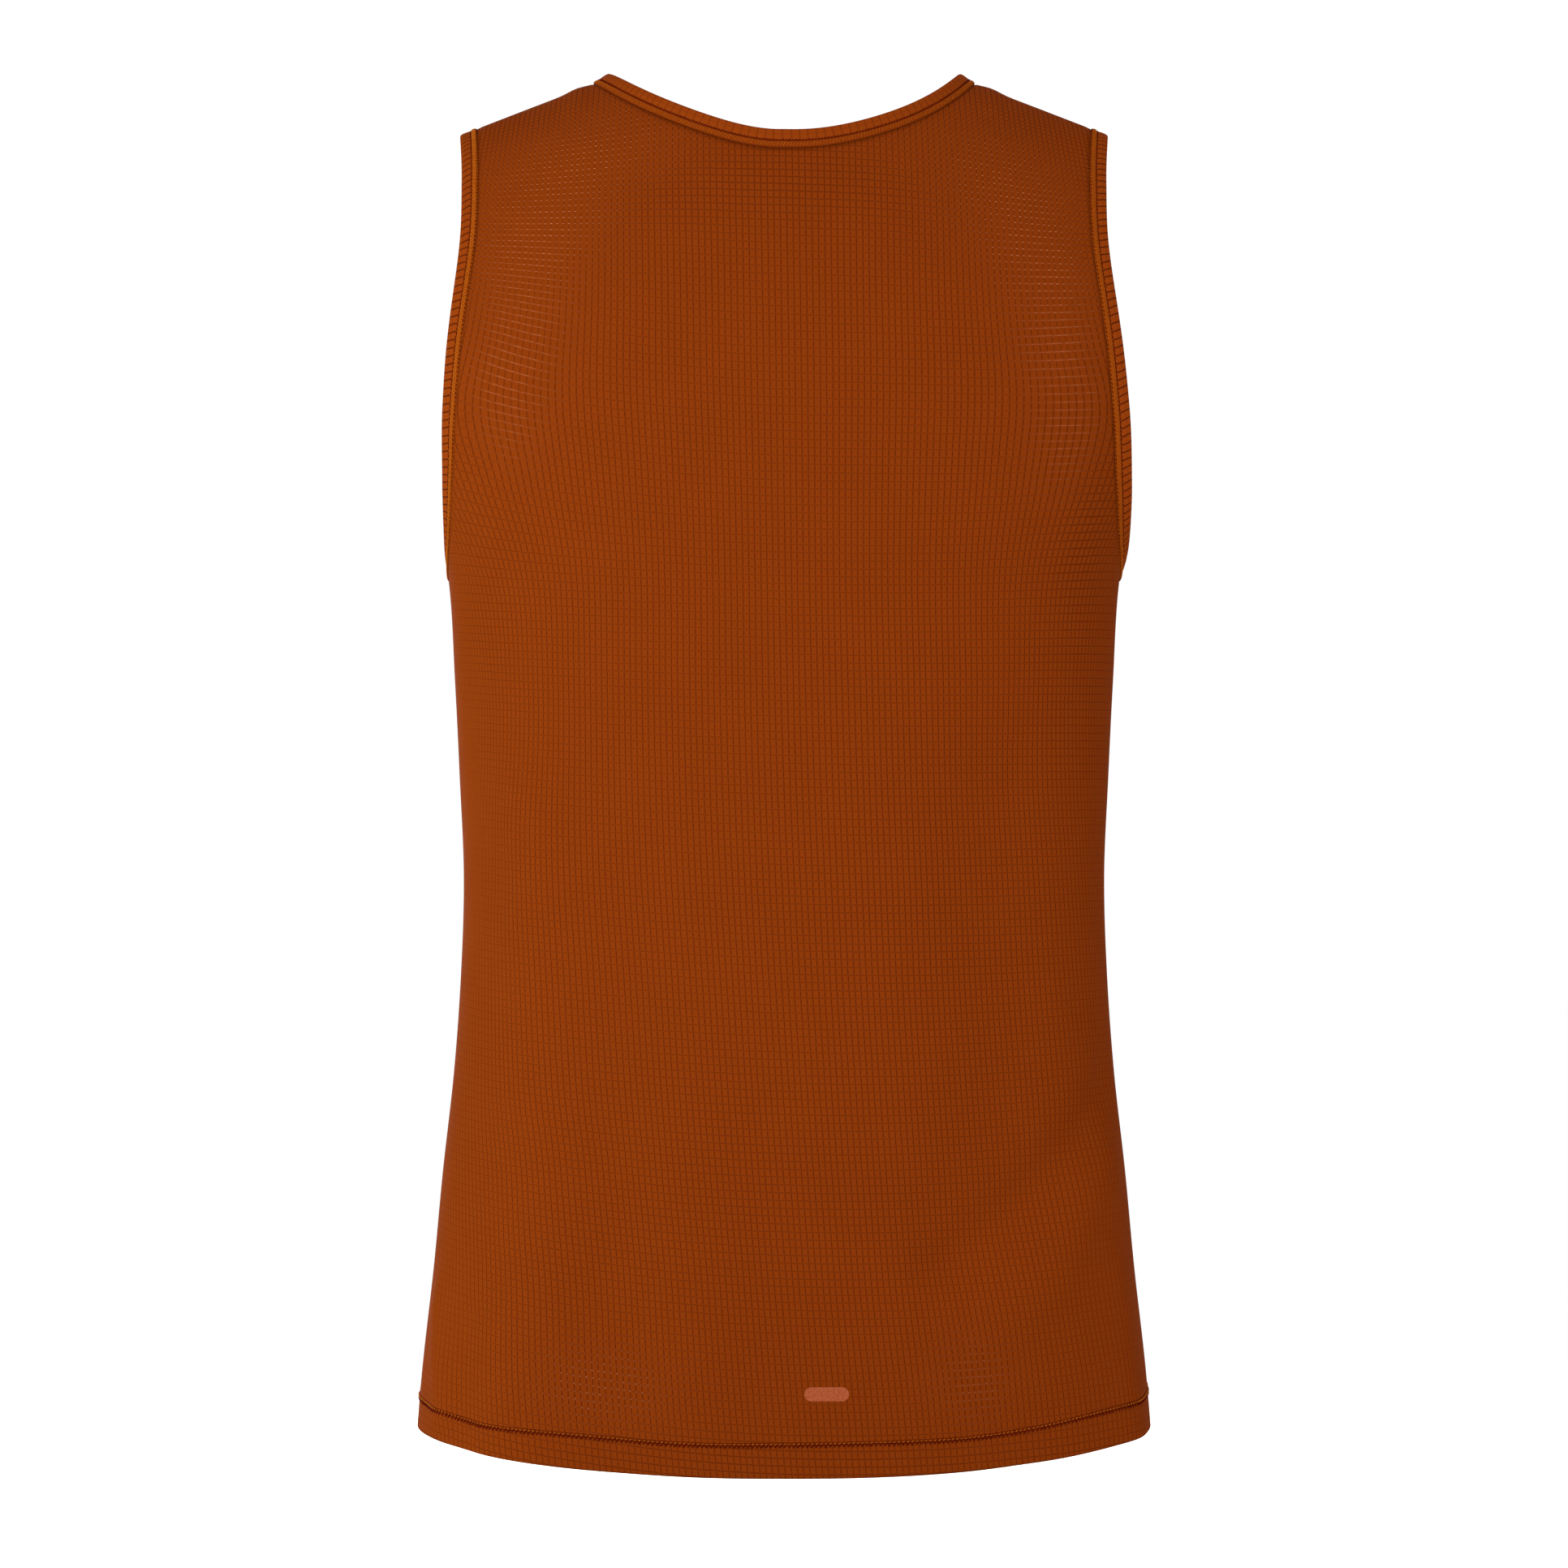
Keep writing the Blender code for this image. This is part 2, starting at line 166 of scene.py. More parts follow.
# Armhole seam, from the shoulder tip down to the underarm
ArmholeRow = namedtuple("ArmholeRow", "drop back_half_width front_half_width")
ARMHOLE = (
    ArmholeRow(0.055, 0.1504, 0.1495),
    ArmholeRow(0.090, 0.1508, 0.1465),
    ArmholeRow(0.130, 0.1558, 0.1450),
    ArmholeRow(0.170, 0.1600, 0.1460),
    ArmholeRow(0.208, 0.1624, 0.1510),
    ArmholeRow(0.238, 0.1648, 0.1590),
)
UNDERARM = 0.2545
HEM_SIDE = 0.6745
HEM_DIPS = {"back": 0.0140, "front": 0.005}

# Soft folds as strokes on the form, from one end to the other. Around is in
# degrees from the centre back towards the wearer's left; a positive height
# stands out and a negative one is a trough.
Fold = namedtuple("Fold", "name around_1 level_1 around_2 level_2 half_width height")
FOLDS = (
    Fold("right flank hollow", -38, 0.36, -36, 0.56, 0.040, -0.0055),
    Fold("left flank swell", 48, 0.38, 44, 0.50, 0.034, 0.0045),
    Fold("right low trough", -22, 0.56, -34, 0.68, 0.017, -0.0022),
    Fold("left hem corner", 42, 0.58, 46, 0.74, 0.032, 0.0036),
    Fold("left hem ridge", 74, 0.61, 66, 0.66, 0.011, 0.0022),
    Fold("left hem hollow", 57, 0.62, 55, 0.67, 0.013, -0.0020),
    Fold("right sweeping trough", -72, 0.500, -22, 0.588, 0.013, -0.0031),
    Fold("right sweeping swell", -68, 0.545, -30, 0.622, 0.018, 0.0031),
    Fold("right edge roll", -67, 0.600, -70, 0.740, 0.020, 0.0026),
    Fold("left waist crease", 66, 0.300, 58, 0.400, 0.016, -0.0014),
    Fold("left low trough", 26, 0.540, 18, 0.740, 0.020, -0.0022),
    Fold("front left trough", 146, 0.47, 152, 0.66, 0.020, -0.0030),
    Fold("front right ridge", -142, 0.50, -150, 0.68, 0.024, 0.0032),
    Fold("front waist fold", 172, 0.42, -160, 0.45, 0.014, -0.0018),
    *(Fold("neck point swell", around, 0.000, around, 0.012, 0.0045, 0.0010)
      for around in (28.3, -28.3, 151.7, -151.7)),
)
MEAN_RADIUS = 0.140

# How the knit lies on the body: the pitch of its lengthwise lines in millimetres,
# by how much they spread towards the flanks, how they drift to the wearer's right
# on the way down, and how its crosswise lines rise towards each flank.
Lie = namedtuple("Lie", "level pitch fan drift rise_left rise_right")
LIES = (
    Lie(0.000, 3.05, -0.50, 0.014, 0.30, 0.26),
    Lie(0.060, 3.08, 0.00, 0.014, 0.34, 0.29),
    Lie(0.120, 3.03, 0.70, 0.014, 0.34, 0.22),
    Lie(0.165, 3.02, 1.10, 0.014, 0.22, 0.12),
    Lie(0.206, 2.95, 0.80, 0.014, 0.14, 0.08),
    Lie(0.254, 2.90, 0.12, 0.014, 0.03, 0.06),
    Lie(0.304, 2.93, -0.12, 0.020, 0.02, 0.04),
    Lie(0.352, 2.95, -0.10, 0.034, 0.04, 0.035),
    Lie(0.401, 2.96, 0.00, 0.052, 0.04, 0.035),
    Lie(0.450, 2.93, 0.10, 0.062, 0.04, 0.04),
    Lie(0.498, 2.93, 0.15, 0.072, 0.05, 0.05),
    Lie(0.547, 2.92, 0.15, 0.085, 0.07, 0.06),
    Lie(0.595, 2.91, 0.15, 0.087, 0.09, 0.06),
    Lie(0.644, 2.98, 0.15, 0.089, 0.10, 0.07),
    Lie(0.720, 2.98, 0.15, 0.089, 0.10, 0.07),
)
WALE_PITCH = 0.00293
COURSE_PITCH = 0.00375
COURSE_LEAN = 0.03
LIE_ROWS = 120
LIE_COLUMNS = 240

# How the grid shows in patches of the cloth, added to its plain look. Where the
# knit is drawn tight its lines, painted shade in its grooves, fade, and painted
# highlights glint as specks at their crossings and as threads along the crosswise lines.
Patch = namedtuple("Patch", "around level half_across half_down "
                            "specks threads lengthwise crosswise")
PATCHES = (
    Patch(29, 0.042, 0.036, 0.024, 1.0, 0.0, -0.35, -0.20),
    Patch(35, 0.079, 0.026, 0.024, 0.9, 0.2, -0.35, -0.25),
    Patch(38, 0.120, 0.018, 0.034, 0.4, 0.8, -0.30, -0.20),
    Patch(45, 0.160, 0.018, 0.034, 0.3, 0.8, -0.20, -0.20),
    Patch(-31, 0.052, 0.028, 0.030, 0.9, 0.0, -0.20, -0.10),
    Patch(-37, 0.088, 0.020, 0.026, 0.9, 0.2, -0.30, -0.25),
    Patch(-42, 0.130, 0.018, 0.032, 0.5, 0.7, -0.30, -0.25),
    Patch(-48, 0.180, 0.018, 0.032, 0.2, 0.9, -0.05, -0.20),
    Patch(0, 0.072, 0.060, 0.018, 0.0, 0.0, 0.00, 0.35),
    Patch(34, 0.008, 0.034, 0.014, 0.0, 0.0, 0.20, 0.50),
    Patch(-36, 0.012, 0.040, 0.018, 0.0, 0.0, 0.20, 0.50),
    Patch(47, 0.060, 0.010, 0.044, 0.0, 0.0, -0.25, 0.50),
    Patch(-45, 0.065, 0.011, 0.048, 0.0, 0.0, -0.15, 0.50),
    Patch(-58, 0.235, 0.022, 0.042, 0.0, 0.0, 0.10, 0.45),
    Patch(-62, 0.310, 0.040, 0.060, 0.0, 0.0, 0.05, 0.20),
    Patch(62, 0.290, 0.030, 0.040, 0.0, 0.0, 0.00, 0.15),
    Patch(72, 0.620, 0.030, 0.045, 0.0, 0.0, -0.35, -0.15),
    Patch(-62, 0.600, 0.022, 0.050, 0.0, 0.0, -0.30, -0.15),
    Patch(76, 0.360, 0.030, 0.110, 0.0, 0.0, -0.60, -0.30),
    Patch(25, 0.644, 0.026, 0.018, 0.6, 0.2, 0.00, 0.00),
    Patch(-27, 0.642, 0.018, 0.022, 0.4, 0.4, 0.00, 0.00),
    Patch(-30, 0.420, 0.060, 0.120, 0.0, 0.0, 0.05, 0.12),
    Patch(10, 0.560, 0.100, 0.080, 0.0, 0.0, 0.00, 0.10),
    Patch(0, 0.680, 0.200, 0.014, 0.0, 0.0, -0.10, 0.28),
    Patch(142, 0.130, 0.030, 0.040, 0.8, 0.1, -0.50, -0.30),
    Patch(134, 0.200, 0.026, 0.034, 0.7, 0.7, -0.15, -0.20),
    Patch(-146, 0.120, 0.028, 0.044, 0.9, 0.1, -0.60, -0.30),
    Patch(-136, 0.205, 0.024, 0.030, 0.7, 0.7, -0.10, -0.20),
    Patch(175, 0.260, 0.050, 0.030, 0.3, 0.0, -0.10, 0.00),
    Patch(180, 0.080, 0.075, 0.018, 0.0, 0.0, 0.00, 0.35),
)
PLAIN_LOOK = {"specks": 0.0, "threads": 0.0, "lengthwise": 0.80, "crosswise": 0.41}

# The cloth and its turned-up hem. The panels' edges lap past each seam by a hair,
# so that no light shows, dip there and are tucked in behind it.
CLOTH = 0.0009
HEM_LAYERS = 0.0022
HEM_TURN_UP = 0.0185
HEM_FOLD_ROWS = 7
EDGE_LAP = 0.00006
EDGE_DIP = 0.00025
EDGE_TUCK = 0.0011

# Faces along each edge of a panel, and how finely its curves are followed
SHOULDER_FACES = 20
NECK_FACES = 112
SIDE_FACES = 142
ARMHOLE_FACES = 84
COLUMN_LEAN = 6
PROFILE_STEPS = 2000
CURVE_STEPS = 40
NECK_STEPS = 200
SEARCH_STEPS = 40
DEEPEST_NECK = 0.200
MIRROR = np.array((-1.0, 1.0))

# The lowest rows of a panel's net, and a column clear of the seams to measure them on
HEM_NET_ROWS = 14
CLEAR_COLUMN = 60


def column(table, name, level):
    """A column of a table at these levels, as a smooth curve."""
    levels = np.array([row.level for row in table])
    values = np.array([getattr(row, name) for row in table])
    slopes = np.gradient(values, levels)
    level = np.clip(level, levels[0], levels[-1])
    low = np.clip(np.searchsorted(levels, level, side="right") - 1, 0, len(levels) - 2)
    span = levels[low + 1] - levels[low]
    t = (level - levels[low]) / span
    rise = (values[low + 1] - values[low]) * t * t * (3 - 2 * t)
    start = t * (1 - t) ** 2 * span * slopes[low]
    end = t * t * (t - 1) * span * slopes[low + 1]
    return values[low] + rise + start + end


def signed_power(value, power):
    return np.sign(value) * np.abs(value) ** power


def unit(vectors):
    return vectors / np.linalg.norm(vectors, axis=-1, keepdims=True)


def shoulder_line(x):
    """Height of the shoulder line at x."""
    reach = np.abs(x) - SLOPE_START
    ramp = (np.hypot(reach, SLOPE_ROUNDING) + reach) / 2
    return SHOULDER_CREST - SHOULDER_SLOPE * ramp


def shoulder_share(level):
    """How much of the shoulder slope is left at this level, from 1 to 0."""
    t = np.clip(level / SHOULDER_FADE, 0, 1)
    return 1 - t * t * (3 - 2 * t)


def cap_share(side, level):
    """How much of its full depth a panel has reached at this level."""
    cap = CAPS[side]
    rest = 1 - np.clip(level / cap.height, 0, 1)
    share = (1 - rest ** cap.power) ** (1 / cap.power)
    reach = share * (np.hypot(1, cap.crest) - cap.crest) + cap.crest
    return np.sqrt(reach ** 2 - cap.crest ** 2)


def profile(side):
    """The panel's centre line: its runs and the levels that they reach."""
    levels = SECTIONS[-1].level * np.linspace(0, 1, PROFILE_STEPS) ** 2
    depths = column(SECTIONS, side, levels) * cap_share(side, levels)
    steps = np.hypot(np.diff(levels), np.diff(depths))
    return np.concatenate(([0], np.cumsum(steps))), levels


PROFILES = {side: profile(side) for side in CAPS}


def run_at(side, level):
    runs, levels = PROFILES[side]
    return np.interp(level, levels, runs)


def level_at(side, run):
    runs, levels = PROFILES[side]
    return np.interp(run, runs, levels)


def smooth_form(side, angle, run):
    """Points of the form before any fold, as an array of x, y, z."""
    level = level_at(side, run)
    power = 2 / column(SECTIONS, "squareness", level)
    across = column(SECTIONS, "half_width", level) * signed_power(np.sin(angle), power)
    edge = column(SECTIONS, "side", level)
    depth = column(SECTIONS, side, level) - edge
    y = (edge + depth * signed_power(np.cos(angle), power)) * cap_share(side, level)
    x = across if side == "back" else -across
    z = shoulder_share(level) * shoulder_line(x) - level
    return np.stack(np.broadcast_arrays(x, y, z), axis=-1)


def outward(side, angle, run):
    """Unit normals of the form, away from the wearer."""
    step = 1e-4
    around = smooth_form(side, angle + step, run) - smooth_form(side, angle - step, run)
    lower = smooth_form(side, angle, run + step)
    upper = smooth_form(side, angle, np.maximum(run - step, 0))
    return unit(np.cross(upper - lower, around))


def wrapped(degrees):
    return (degrees + 180) % 360 - 180


def fold_height(side, angle, run):
    """How far the folds stand out of the form at these points."""
    around = np.degrees(angle) + (0 if side == "back" else 180)
    level = level_at(side, run)
    height = np.zeros(np.broadcast(around, level).shape)
    for fold in FOLDS:
        sweep = radians(wrapped(fold.around_2 - fold.around_1)) * MEAN_RADIUS
        fall = fold.level_2 - fold.level_1
        right = np.radians(wrapped(around - fold.around_1)) * MEAN_RADIUS
        down = level - fold.level_1
        along = np.clip((right * sweep + down * fall) / (sweep ** 2 + fall ** 2), 0, 1)
        distance = np.hypot(right - along * sweep, down - along * fall)
        height += fold.height * np.exp(-(distance / fold.half_width) ** 2)
    return height


def cloth(side, angle, run):
    """Points of the cloth's outer face, and the normals there."""
    normals = outward(side, angle, run)
    height = fold_height(side, angle, run)
    return smooth_form(side, angle, run) + normals * height[..., None], normals


def spline(points):
    """A smooth curve through these points; the first and last only steer its ends."""
    points = np.array(points, dtype=float)
    curve = []
    for before, start, end, after in zip(points, points[1:], points[2:], points[3:]):
        for t in np.linspace(0, 1, CURVE_STEPS, endpoint=False):
            curve.append(0.5 * (2 * start + (end - before) * t
                                + (2 * before - 5 * start + 4 * end - after) * t ** 2
                                + (3 * start - before - 3 * end + after) * t ** 3))
    curve.append(points[-2])
    return np.array(curve)


def lengths_along(points):
    steps = np.linalg.norm(np.diff(points, axis=0), axis=1)
    return np.concatenate(([0], np.cumsum(steps)))


def spaced(side, curve, count):
    """The curve in this many equal steps of cloth."""
    lengths = lengths_along(smooth_form(side, *curve.T))
    wanted = np.linspace(0, lengths[-1], count + 1)
    return np.stack([np.interp(wanted, lengths, values) for values in curve.T], axis=1)


def angle_at(level, x):
    """The angle at which the section of this level has this x."""
    share = np.clip(x / column(SECTIONS, "half_width", level), 0, 1)
    return np.arcsin(share ** (column(SECTIONS, "squareness", level) / 2))


def level_of_drop(drop, x):
    """The level of the point of the form that lies this far below the origin."""
    level = drop
    for _ in range(SEARCH_STEPS):
        level = drop + shoulder_share(level) * shoulder_line(x)
    return level


def armhole_line(side):
    """Angle and run along one half armhole, from the underarm to the shoulder tip."""
    tip = (angle_at(0.0, SHOULDER_TIP), 0.0)
    rows = []
    for row in ARMHOLE:
        x = getattr(row, side + "_half_width")
        level = level_of_drop(row.drop, x)
        rows.append((angle_at(level, x), run_at(side, level)))
    underarm = (np.pi / 2, run_at(side, UNDERARM))
    mirrored = (np.pi - rows[-1][0], rows[-1][1])
    above = (tip[0], -rows[0][1])
    curve = spline([mirrored, underarm, *reversed(rows), tip, above])
    return spaced(side, curve, ARMHOLE_FACES)


def side_line(side):
    """Angle and run up the side seam, from the hem to the underarm."""
    levels = np.linspace(HEM_SIDE, UNDERARM, SIDE_FACES + 1)
    return np.stack((np.full(len(levels), np.pi / 2), run_at(side, levels)), axis=1)


def points_under(side, x, y):
    """Angles and runs of the points of the form at these x and distances in y."""
    low = np.zeros(len(x))
    high = np.full(len(x), DEEPEST_NECK)
    for _ in range(SEARCH_STEPS):
        run = (low + high) / 2
        angle = angle_at(level_at(side, run), x)
        nearer = np.abs(smooth_form(side, angle, run)[:, 1]) < y
        low = np.where(nearer, run, low)
        high = np.where(nearer, high, run)
    return np.stack((angle, run), axis=1)


def neck_quarter(side, hand):
    """Angle and run along a quarter of the neckline, from the shoulder to the centre."""
    power = 2 / NECK_ROUNDNESS[side, hand]
    turn = np.linspace(0, np.pi / 2, NECK_STEPS)[1:]
    lower = points_under(side, NECK_HALF_WIDTH * signed_power(np.cos(turn), power),
                         NECK_DEPTHS[side] * signed_power(np.sin(turn), power))
    start = (angle_at(0.0, NECK_HALF_WIDTH), 0.0)
    return spaced(side, np.concatenate(([start], lower)), NECK_FACES // 2)


def neck_line(side):
    """Angle and run along a panel's half of the neckline, from its positive angles."""
    hands = ("left", "right") if side == "back" else ("right", "left")
    first, second = (neck_quarter(side, hand) for hand in hands)
    return np.concatenate((first, second[-2::-1] * MIRROR))


def shoulder_seam():
    """Angle and run along one shoulder seam, from the tip to the neck."""
    xs = np.linspace(SHOULDER_TIP, NECK_HALF_WIDTH, SHOULDER_FACES + 1)
    return np.stack((angle_at(0.0, xs), np.zeros(len(xs))), axis=1)


def panel_net(side):
    """Angles and runs of a panel, hem to top by side to side, between its edges.

    A place across is 1 on the flank at positive angles, 0 on the centre line and
    -1 on the other flank. A climb is 0 at the hem and 1 at the panel's top.
    """
    flank = np.concatenate((side_line(side), armhole_line(side)[1:]))
    shoulder = shoulder_seam()
    top = np.concatenate((shoulder, neck_line(side)[1:-1], shoulder[::-1] * MIRROR))
    width = lengths_along(smooth_form(side, *top.T))
    height = lengths_along(smooth_form(side, *flank.T))
    climb = height[:, None] / height[-1]
    hem_place = 1 - 2 * width / width[-1]
    top_place = top[:, 0] / top[0, 0]
    place = hem_place + (top_place - hem_place) * climb ** COLUMN_LEAN
    angle = flank[:, :1] * place
    flank_climb = 1 - flank[:, 1:] / flank[0, 1]
    climb = climb + (flank_climb - climb) * np.abs(place)
    hem = flank[0, 1] + HEM_DIPS[side] * np.cos(angle[0]) ** 2
    run = hem + (top[:, 1] - hem) * climb
    return angle, run


NETS = {side: panel_net(side) for side in CAPS}


def knit_place(side, angle, run):
    """How far across and down its own knit each point of a panel lies."""
    levels = np.linspace(0, SECTIONS[-1].level, LIE_ROWS + 1)
    turns = np.linspace(-np.pi / 2, np.pi / 2, LIE_COLUMNS + 1)
    points = smooth_form(side, turns, run_at(side, levels)[:, None])
    steps = np.linalg.norm(np.diff(points, axis=1), axis=2)
    share = np.abs(points[:, :, 0]) / column(SECTIONS, "half_width", levels)[:, None]
    share = (share[:, 1:] + share[:, :-1]) / 2
    spread = 1 + column(LIES, "fan", levels)[:, None] * share ** 3
    pitch = column(LIES, "pitch", levels)[:, None] / (WALE_PITCH * 1000)
    across = np.cumsum(steps / spread / pitch, axis=1)
    across = np.concatenate((np.zeros((len(levels), 1)), across), axis=1)
    across -= across[:, [LIE_COLUMNS // 2]]
    level = level_at(side, run)
    row = np.clip(level / levels[1], 0, len(levels) - 1.001)
    place = np.clip((angle + np.pi / 2) / (turns[1] - turns[0]), 0, len(turns) - 1.001)
    low, left = row.astype(int), place.astype(int)
    row, place = row - low, place - left
    lower = across[low, left] * (1 - place) + across[low, left + 1] * place
    upper = across[low + 1, left] * (1 - place) + across[low + 1, left + 1] * place
    found = lower * (1 - row) + upper * row
    drifts = column(LIES, "drift", levels)
    drift = np.concatenate(([0], np.cumsum((drifts[1:] + drifts[:-1]) / 2 * levels[1])))
    half_width = column(SECTIONS, "half_width", level)
    side_share = np.abs(np.sin(angle)) ** (2 / column(SECTIONS, "squareness", level))
    rise = np.where(angle > 0, column(LIES, "rise_left", level),
                    column(LIES, "rise_right", level))
    down = run + rise * half_width * side_share ** 2 + COURSE_LEAN * found
    return np.stack((found + np.interp(level, levels, drift), down), axis=-1)


def grid_look(side, angle, run):
    """How strongly the specks and lines of the grid show, by name."""
    around = np.degrees(angle) + (0 if side == "back" else 180)
    level = level_at(side, run)
    looks = {name: np.full(np.broadcast(around, level).shape, plain)
             for name, plain in PLAIN_LOOK.items()}
    for patch in PATCHES:
        right = np.radians(wrapped(around - patch.around)) * MEAN_RADIUS / patch.half_across
        down = (level - patch.level) / patch.half_down
        share = np.exp(-right ** 2 - down ** 2)
        for name, numbers in looks.items():
            numbers += getattr(patch, name) * share
    return {name: np.clip(numbers, 0, 1) for name, numbers in looks.items()}


def net_piece(name, points, places, material, values=()):
    """An object through the points of a net, with knit places as its UV map.

    Values are named numbers of every point, which the material reads.
    """
    rows, columns = points.shape[:2]
    corner = np.arange(rows - 1)[:, None] * columns + np.arange(columns - 1)
    faces = np.stack((corner, corner + 1, corner + columns + 1, corner + columns), axis=-1)
    mesh = bpy.data.meshes.new(name)
    mesh.from_pydata(points.reshape(-1, 3).tolist(), [], faces.reshape(-1, 4).tolist())
    corners = np.empty(len(mesh.loops), dtype=int)
    mesh.loops.foreach_get("vertex_index", corners)
    uv = mesh.uv_layers.new(name="Knit")
    uv.uv.foreach_set("vector", places.reshape(-1, 2)[corners].ravel())
    for title, numbers in values:
        layer = mesh.attributes.new(title, "FLOAT", "POINT")
        layer.data.foreach_set("value", numbers.ravel())
    mesh.materials.append(material)
    mesh.shade_smooth()
    return linked(name, mesh)


def thicken(piece, thickness):
    solidify = piece.modifiers.new("cloth", "SOLIDIFY")
    solidify.thickness = thickness
    solidify.offset = -1
    return piece


class Wire:
    """A value between two nodes, which takes part in plain sums."""

    def __init__(self, tree, output=None):
        self.tree = tree
        self.output = output

    def node(self, kind, settings=None, inputs=None, output=0):
        """Any node of this tree, with its settings and its inputs by name or number."""
        made = self.tree.nodes.new(kind)
        for name, value in (settings or {}).items():
            setattr(made, name, value)
        for key, value in (inputs or {}).items():
            if isinstance(value, Wire):
                self.tree.links.new(value.output, made.inputs[key])
            else:
                made.inputs[key].default_value = value
        return Wire(self.tree, made.outputs[output] if made.outputs else None)

    def math(self, operation, *values):
        return self.node("ShaderNodeMath", {"operation": operation}, dict(enumerate(values)))

    def __add__(self, other):
        return self.math("ADD", self, other)

    def __sub__(self, other):
        return self.math("SUBTRACT", self, other)

    def __rsub__(self, other):
        return self.math("SUBTRACT", other, self)

    def __mul__(self, other):
        return self.math("MULTIPLY", self, other)

    def __truediv__(self, other):
        return self.math("DIVIDE", self, other)

    __radd__ = __add__
    __rmul__ = __mul__

    def line(self, start, full):
        """0 in the middle of every whole step of this value, and 1 along its lines."""
        away = self.math("ABSOLUTE", self.math("FRACT", self) - 0.5) * 2
        return away.ramp(start, full)

    def ramp(self, start, full, low=0.0, high=1.0):
        return self.node("ShaderNodeMapRange", {"interpolation_type": "SMOOTHSTEP"},
                         {"Value": self, "From Min": start, "From Max": full,
                          "To Min": low, "To Max": high})

    def mixed(self, first, second):
        """A colour between two, by this share of the second."""
        return self.node("ShaderNodeMix", {"data_type": "RGBA"},
                         {"Factor": self, 6: first, 7: second}, output=2)


def cloth_shader(name):
    """A material for matt cloth or thread, and the wire that draws its nodes."""
    material = bpy.data.materials.new(name)
    material.use_nodes = True
    shader = material.node_tree.nodes["Principled BSDF"]
    shader.inputs["IOR"].default_value = 1.04
    shader.inputs["Sheen Weight"].default_value = 0.01
    shader.inputs["Sheen Roughness"].default_value = 0.4
    shader.inputs["Sheen Tint"].default_value = (1.0, 0.30, 0.05, 1)
    return material, shader, Wire(material.node_tree)


# The grid's lines, as the places in a step of the knit where one starts and is full
WALE_LINE = (0.72, 0.94)
COURSE_LINE = (0.78, 0.95)
LINE_WOBBLE = 0.14
GROOVE_DEPTH = 0.00016

# Its knitted loops, four across and five down a step, as turns, and its yarn's grain
LOOPS_ACROSS = 25.13
LOOPS_DOWN = 31.42
LOOP_HEIGHT = 0.000015
YARN_SCALE = 1500.0
YARN_HEIGHT = 0.00005


def knit_material(name, face, groove_shade, speck):
    """Grid knit: raised cells between dashed lengthwise and fine crosswise lines, their dark colour
    painted shade in the grooves, with painted highlights as specks at the crossings and threads along
    the crosswise lines.
    """
    material, shader, draw = cloth_shader(name)
    tree = draw.tree
    split = draw.node("ShaderNodeSeparateXYZ", None, {0: draw.node("ShaderNodeUVMap")})
    across = Wire(tree, split.output.node.outputs["X"])
    down = Wire(tree, split.output.node.outputs["Y"])
    specks, threads, lengthwise, crosswise = (
        draw.node("ShaderNodeAttribute", {"attribute_name": title}, output=2)
        for title in PLAIN_LOOK)
    space = draw.node("ShaderNodeTexCoord", output=3)
    patchy, wobble, twinkle, yarn = (draw.node("ShaderNodeTexNoise", None,
                                               {"Vector": space, "Scale": scale, "Detail": 2.0})
                                     for scale in (30.0, 260.0, 520.0, YARN_SCALE))
    wales = across / WALE_PITCH + (wobble - 0.5) * LINE_WOBBLE
    courses = down / COURSE_PITCH + (wobble - 0.5) * LINE_WOBBLE
    dash = (courses + 0.5).line(0.15, 0.60) * 0.45 + 0.55
    # The dark colour of the grid's lines is painted shade in its grooves.
    dark = draw.math("MAXIMUM", wales.line(*WALE_LINE) * dash * lengthwise,
                     courses.line(*COURSE_LINE) * crosswise)
    # Painted highlights: glinting specks at the grid's crossings, and threads of glints along its
    # crosswise lines.
    crossing = wales.line(0.56, 0.82) * courses.line(0.82, 0.94) * twinkle.ramp(0.30, 0.66, 0.30, 1.0)
    line = courses.line(0.82, 0.95) * (1 - wales.line(0.50, 0.80)) * threads
    line *= twinkle.ramp(0.30, 0.66, 0.12, 0.45)
    pale = draw.math("MINIMUM", draw.math("MAXIMUM", crossing * specks, line), 1.0)
    loops = (draw.math("SINE", wales * LOOPS_ACROSS)
             * draw.math("SINE", courses * LOOPS_DOWN))
    tone = patchy.ramp(0.3, 0.7, -0.04, 0.04) + (yarn - 0.5) * 0.30 + loops * 0.04
    shade = draw.math("MINIMUM", draw.math("MAXIMUM", dark * 0.85 - tone * 0.5 + 0.05, 0.0), 1.0)
    colour = pale.mixed(shade.mixed(face, groove_shade), speck)
    height = (1 - dark) * GROOVE_DEPTH + loops * LOOP_HEIGHT + (yarn - 0.5) * YARN_HEIGHT
    bump = draw.node("ShaderNodeBump", None, {"Strength": 0.8, "Distance": 1.0, "Height": height})
    tree.links.new(colour.output, shader.inputs["Base Color"])
    tree.links.new(bump.output, shader.inputs["Normal"])
    tree.links.new((0.86 - tone * 0.3).output, shader.inputs["Roughness"])
    return material


# The second colour is painted shade in the grooves, the third a painted highlight for the glinting
# specks.
panel_knit = knit_material("grid_knit", (0.162, 0.0250, 0.0018, 1), (0.055, 0.0070, 0.0008, 1),
                           (0.38, 0.125, 0.048, 1))


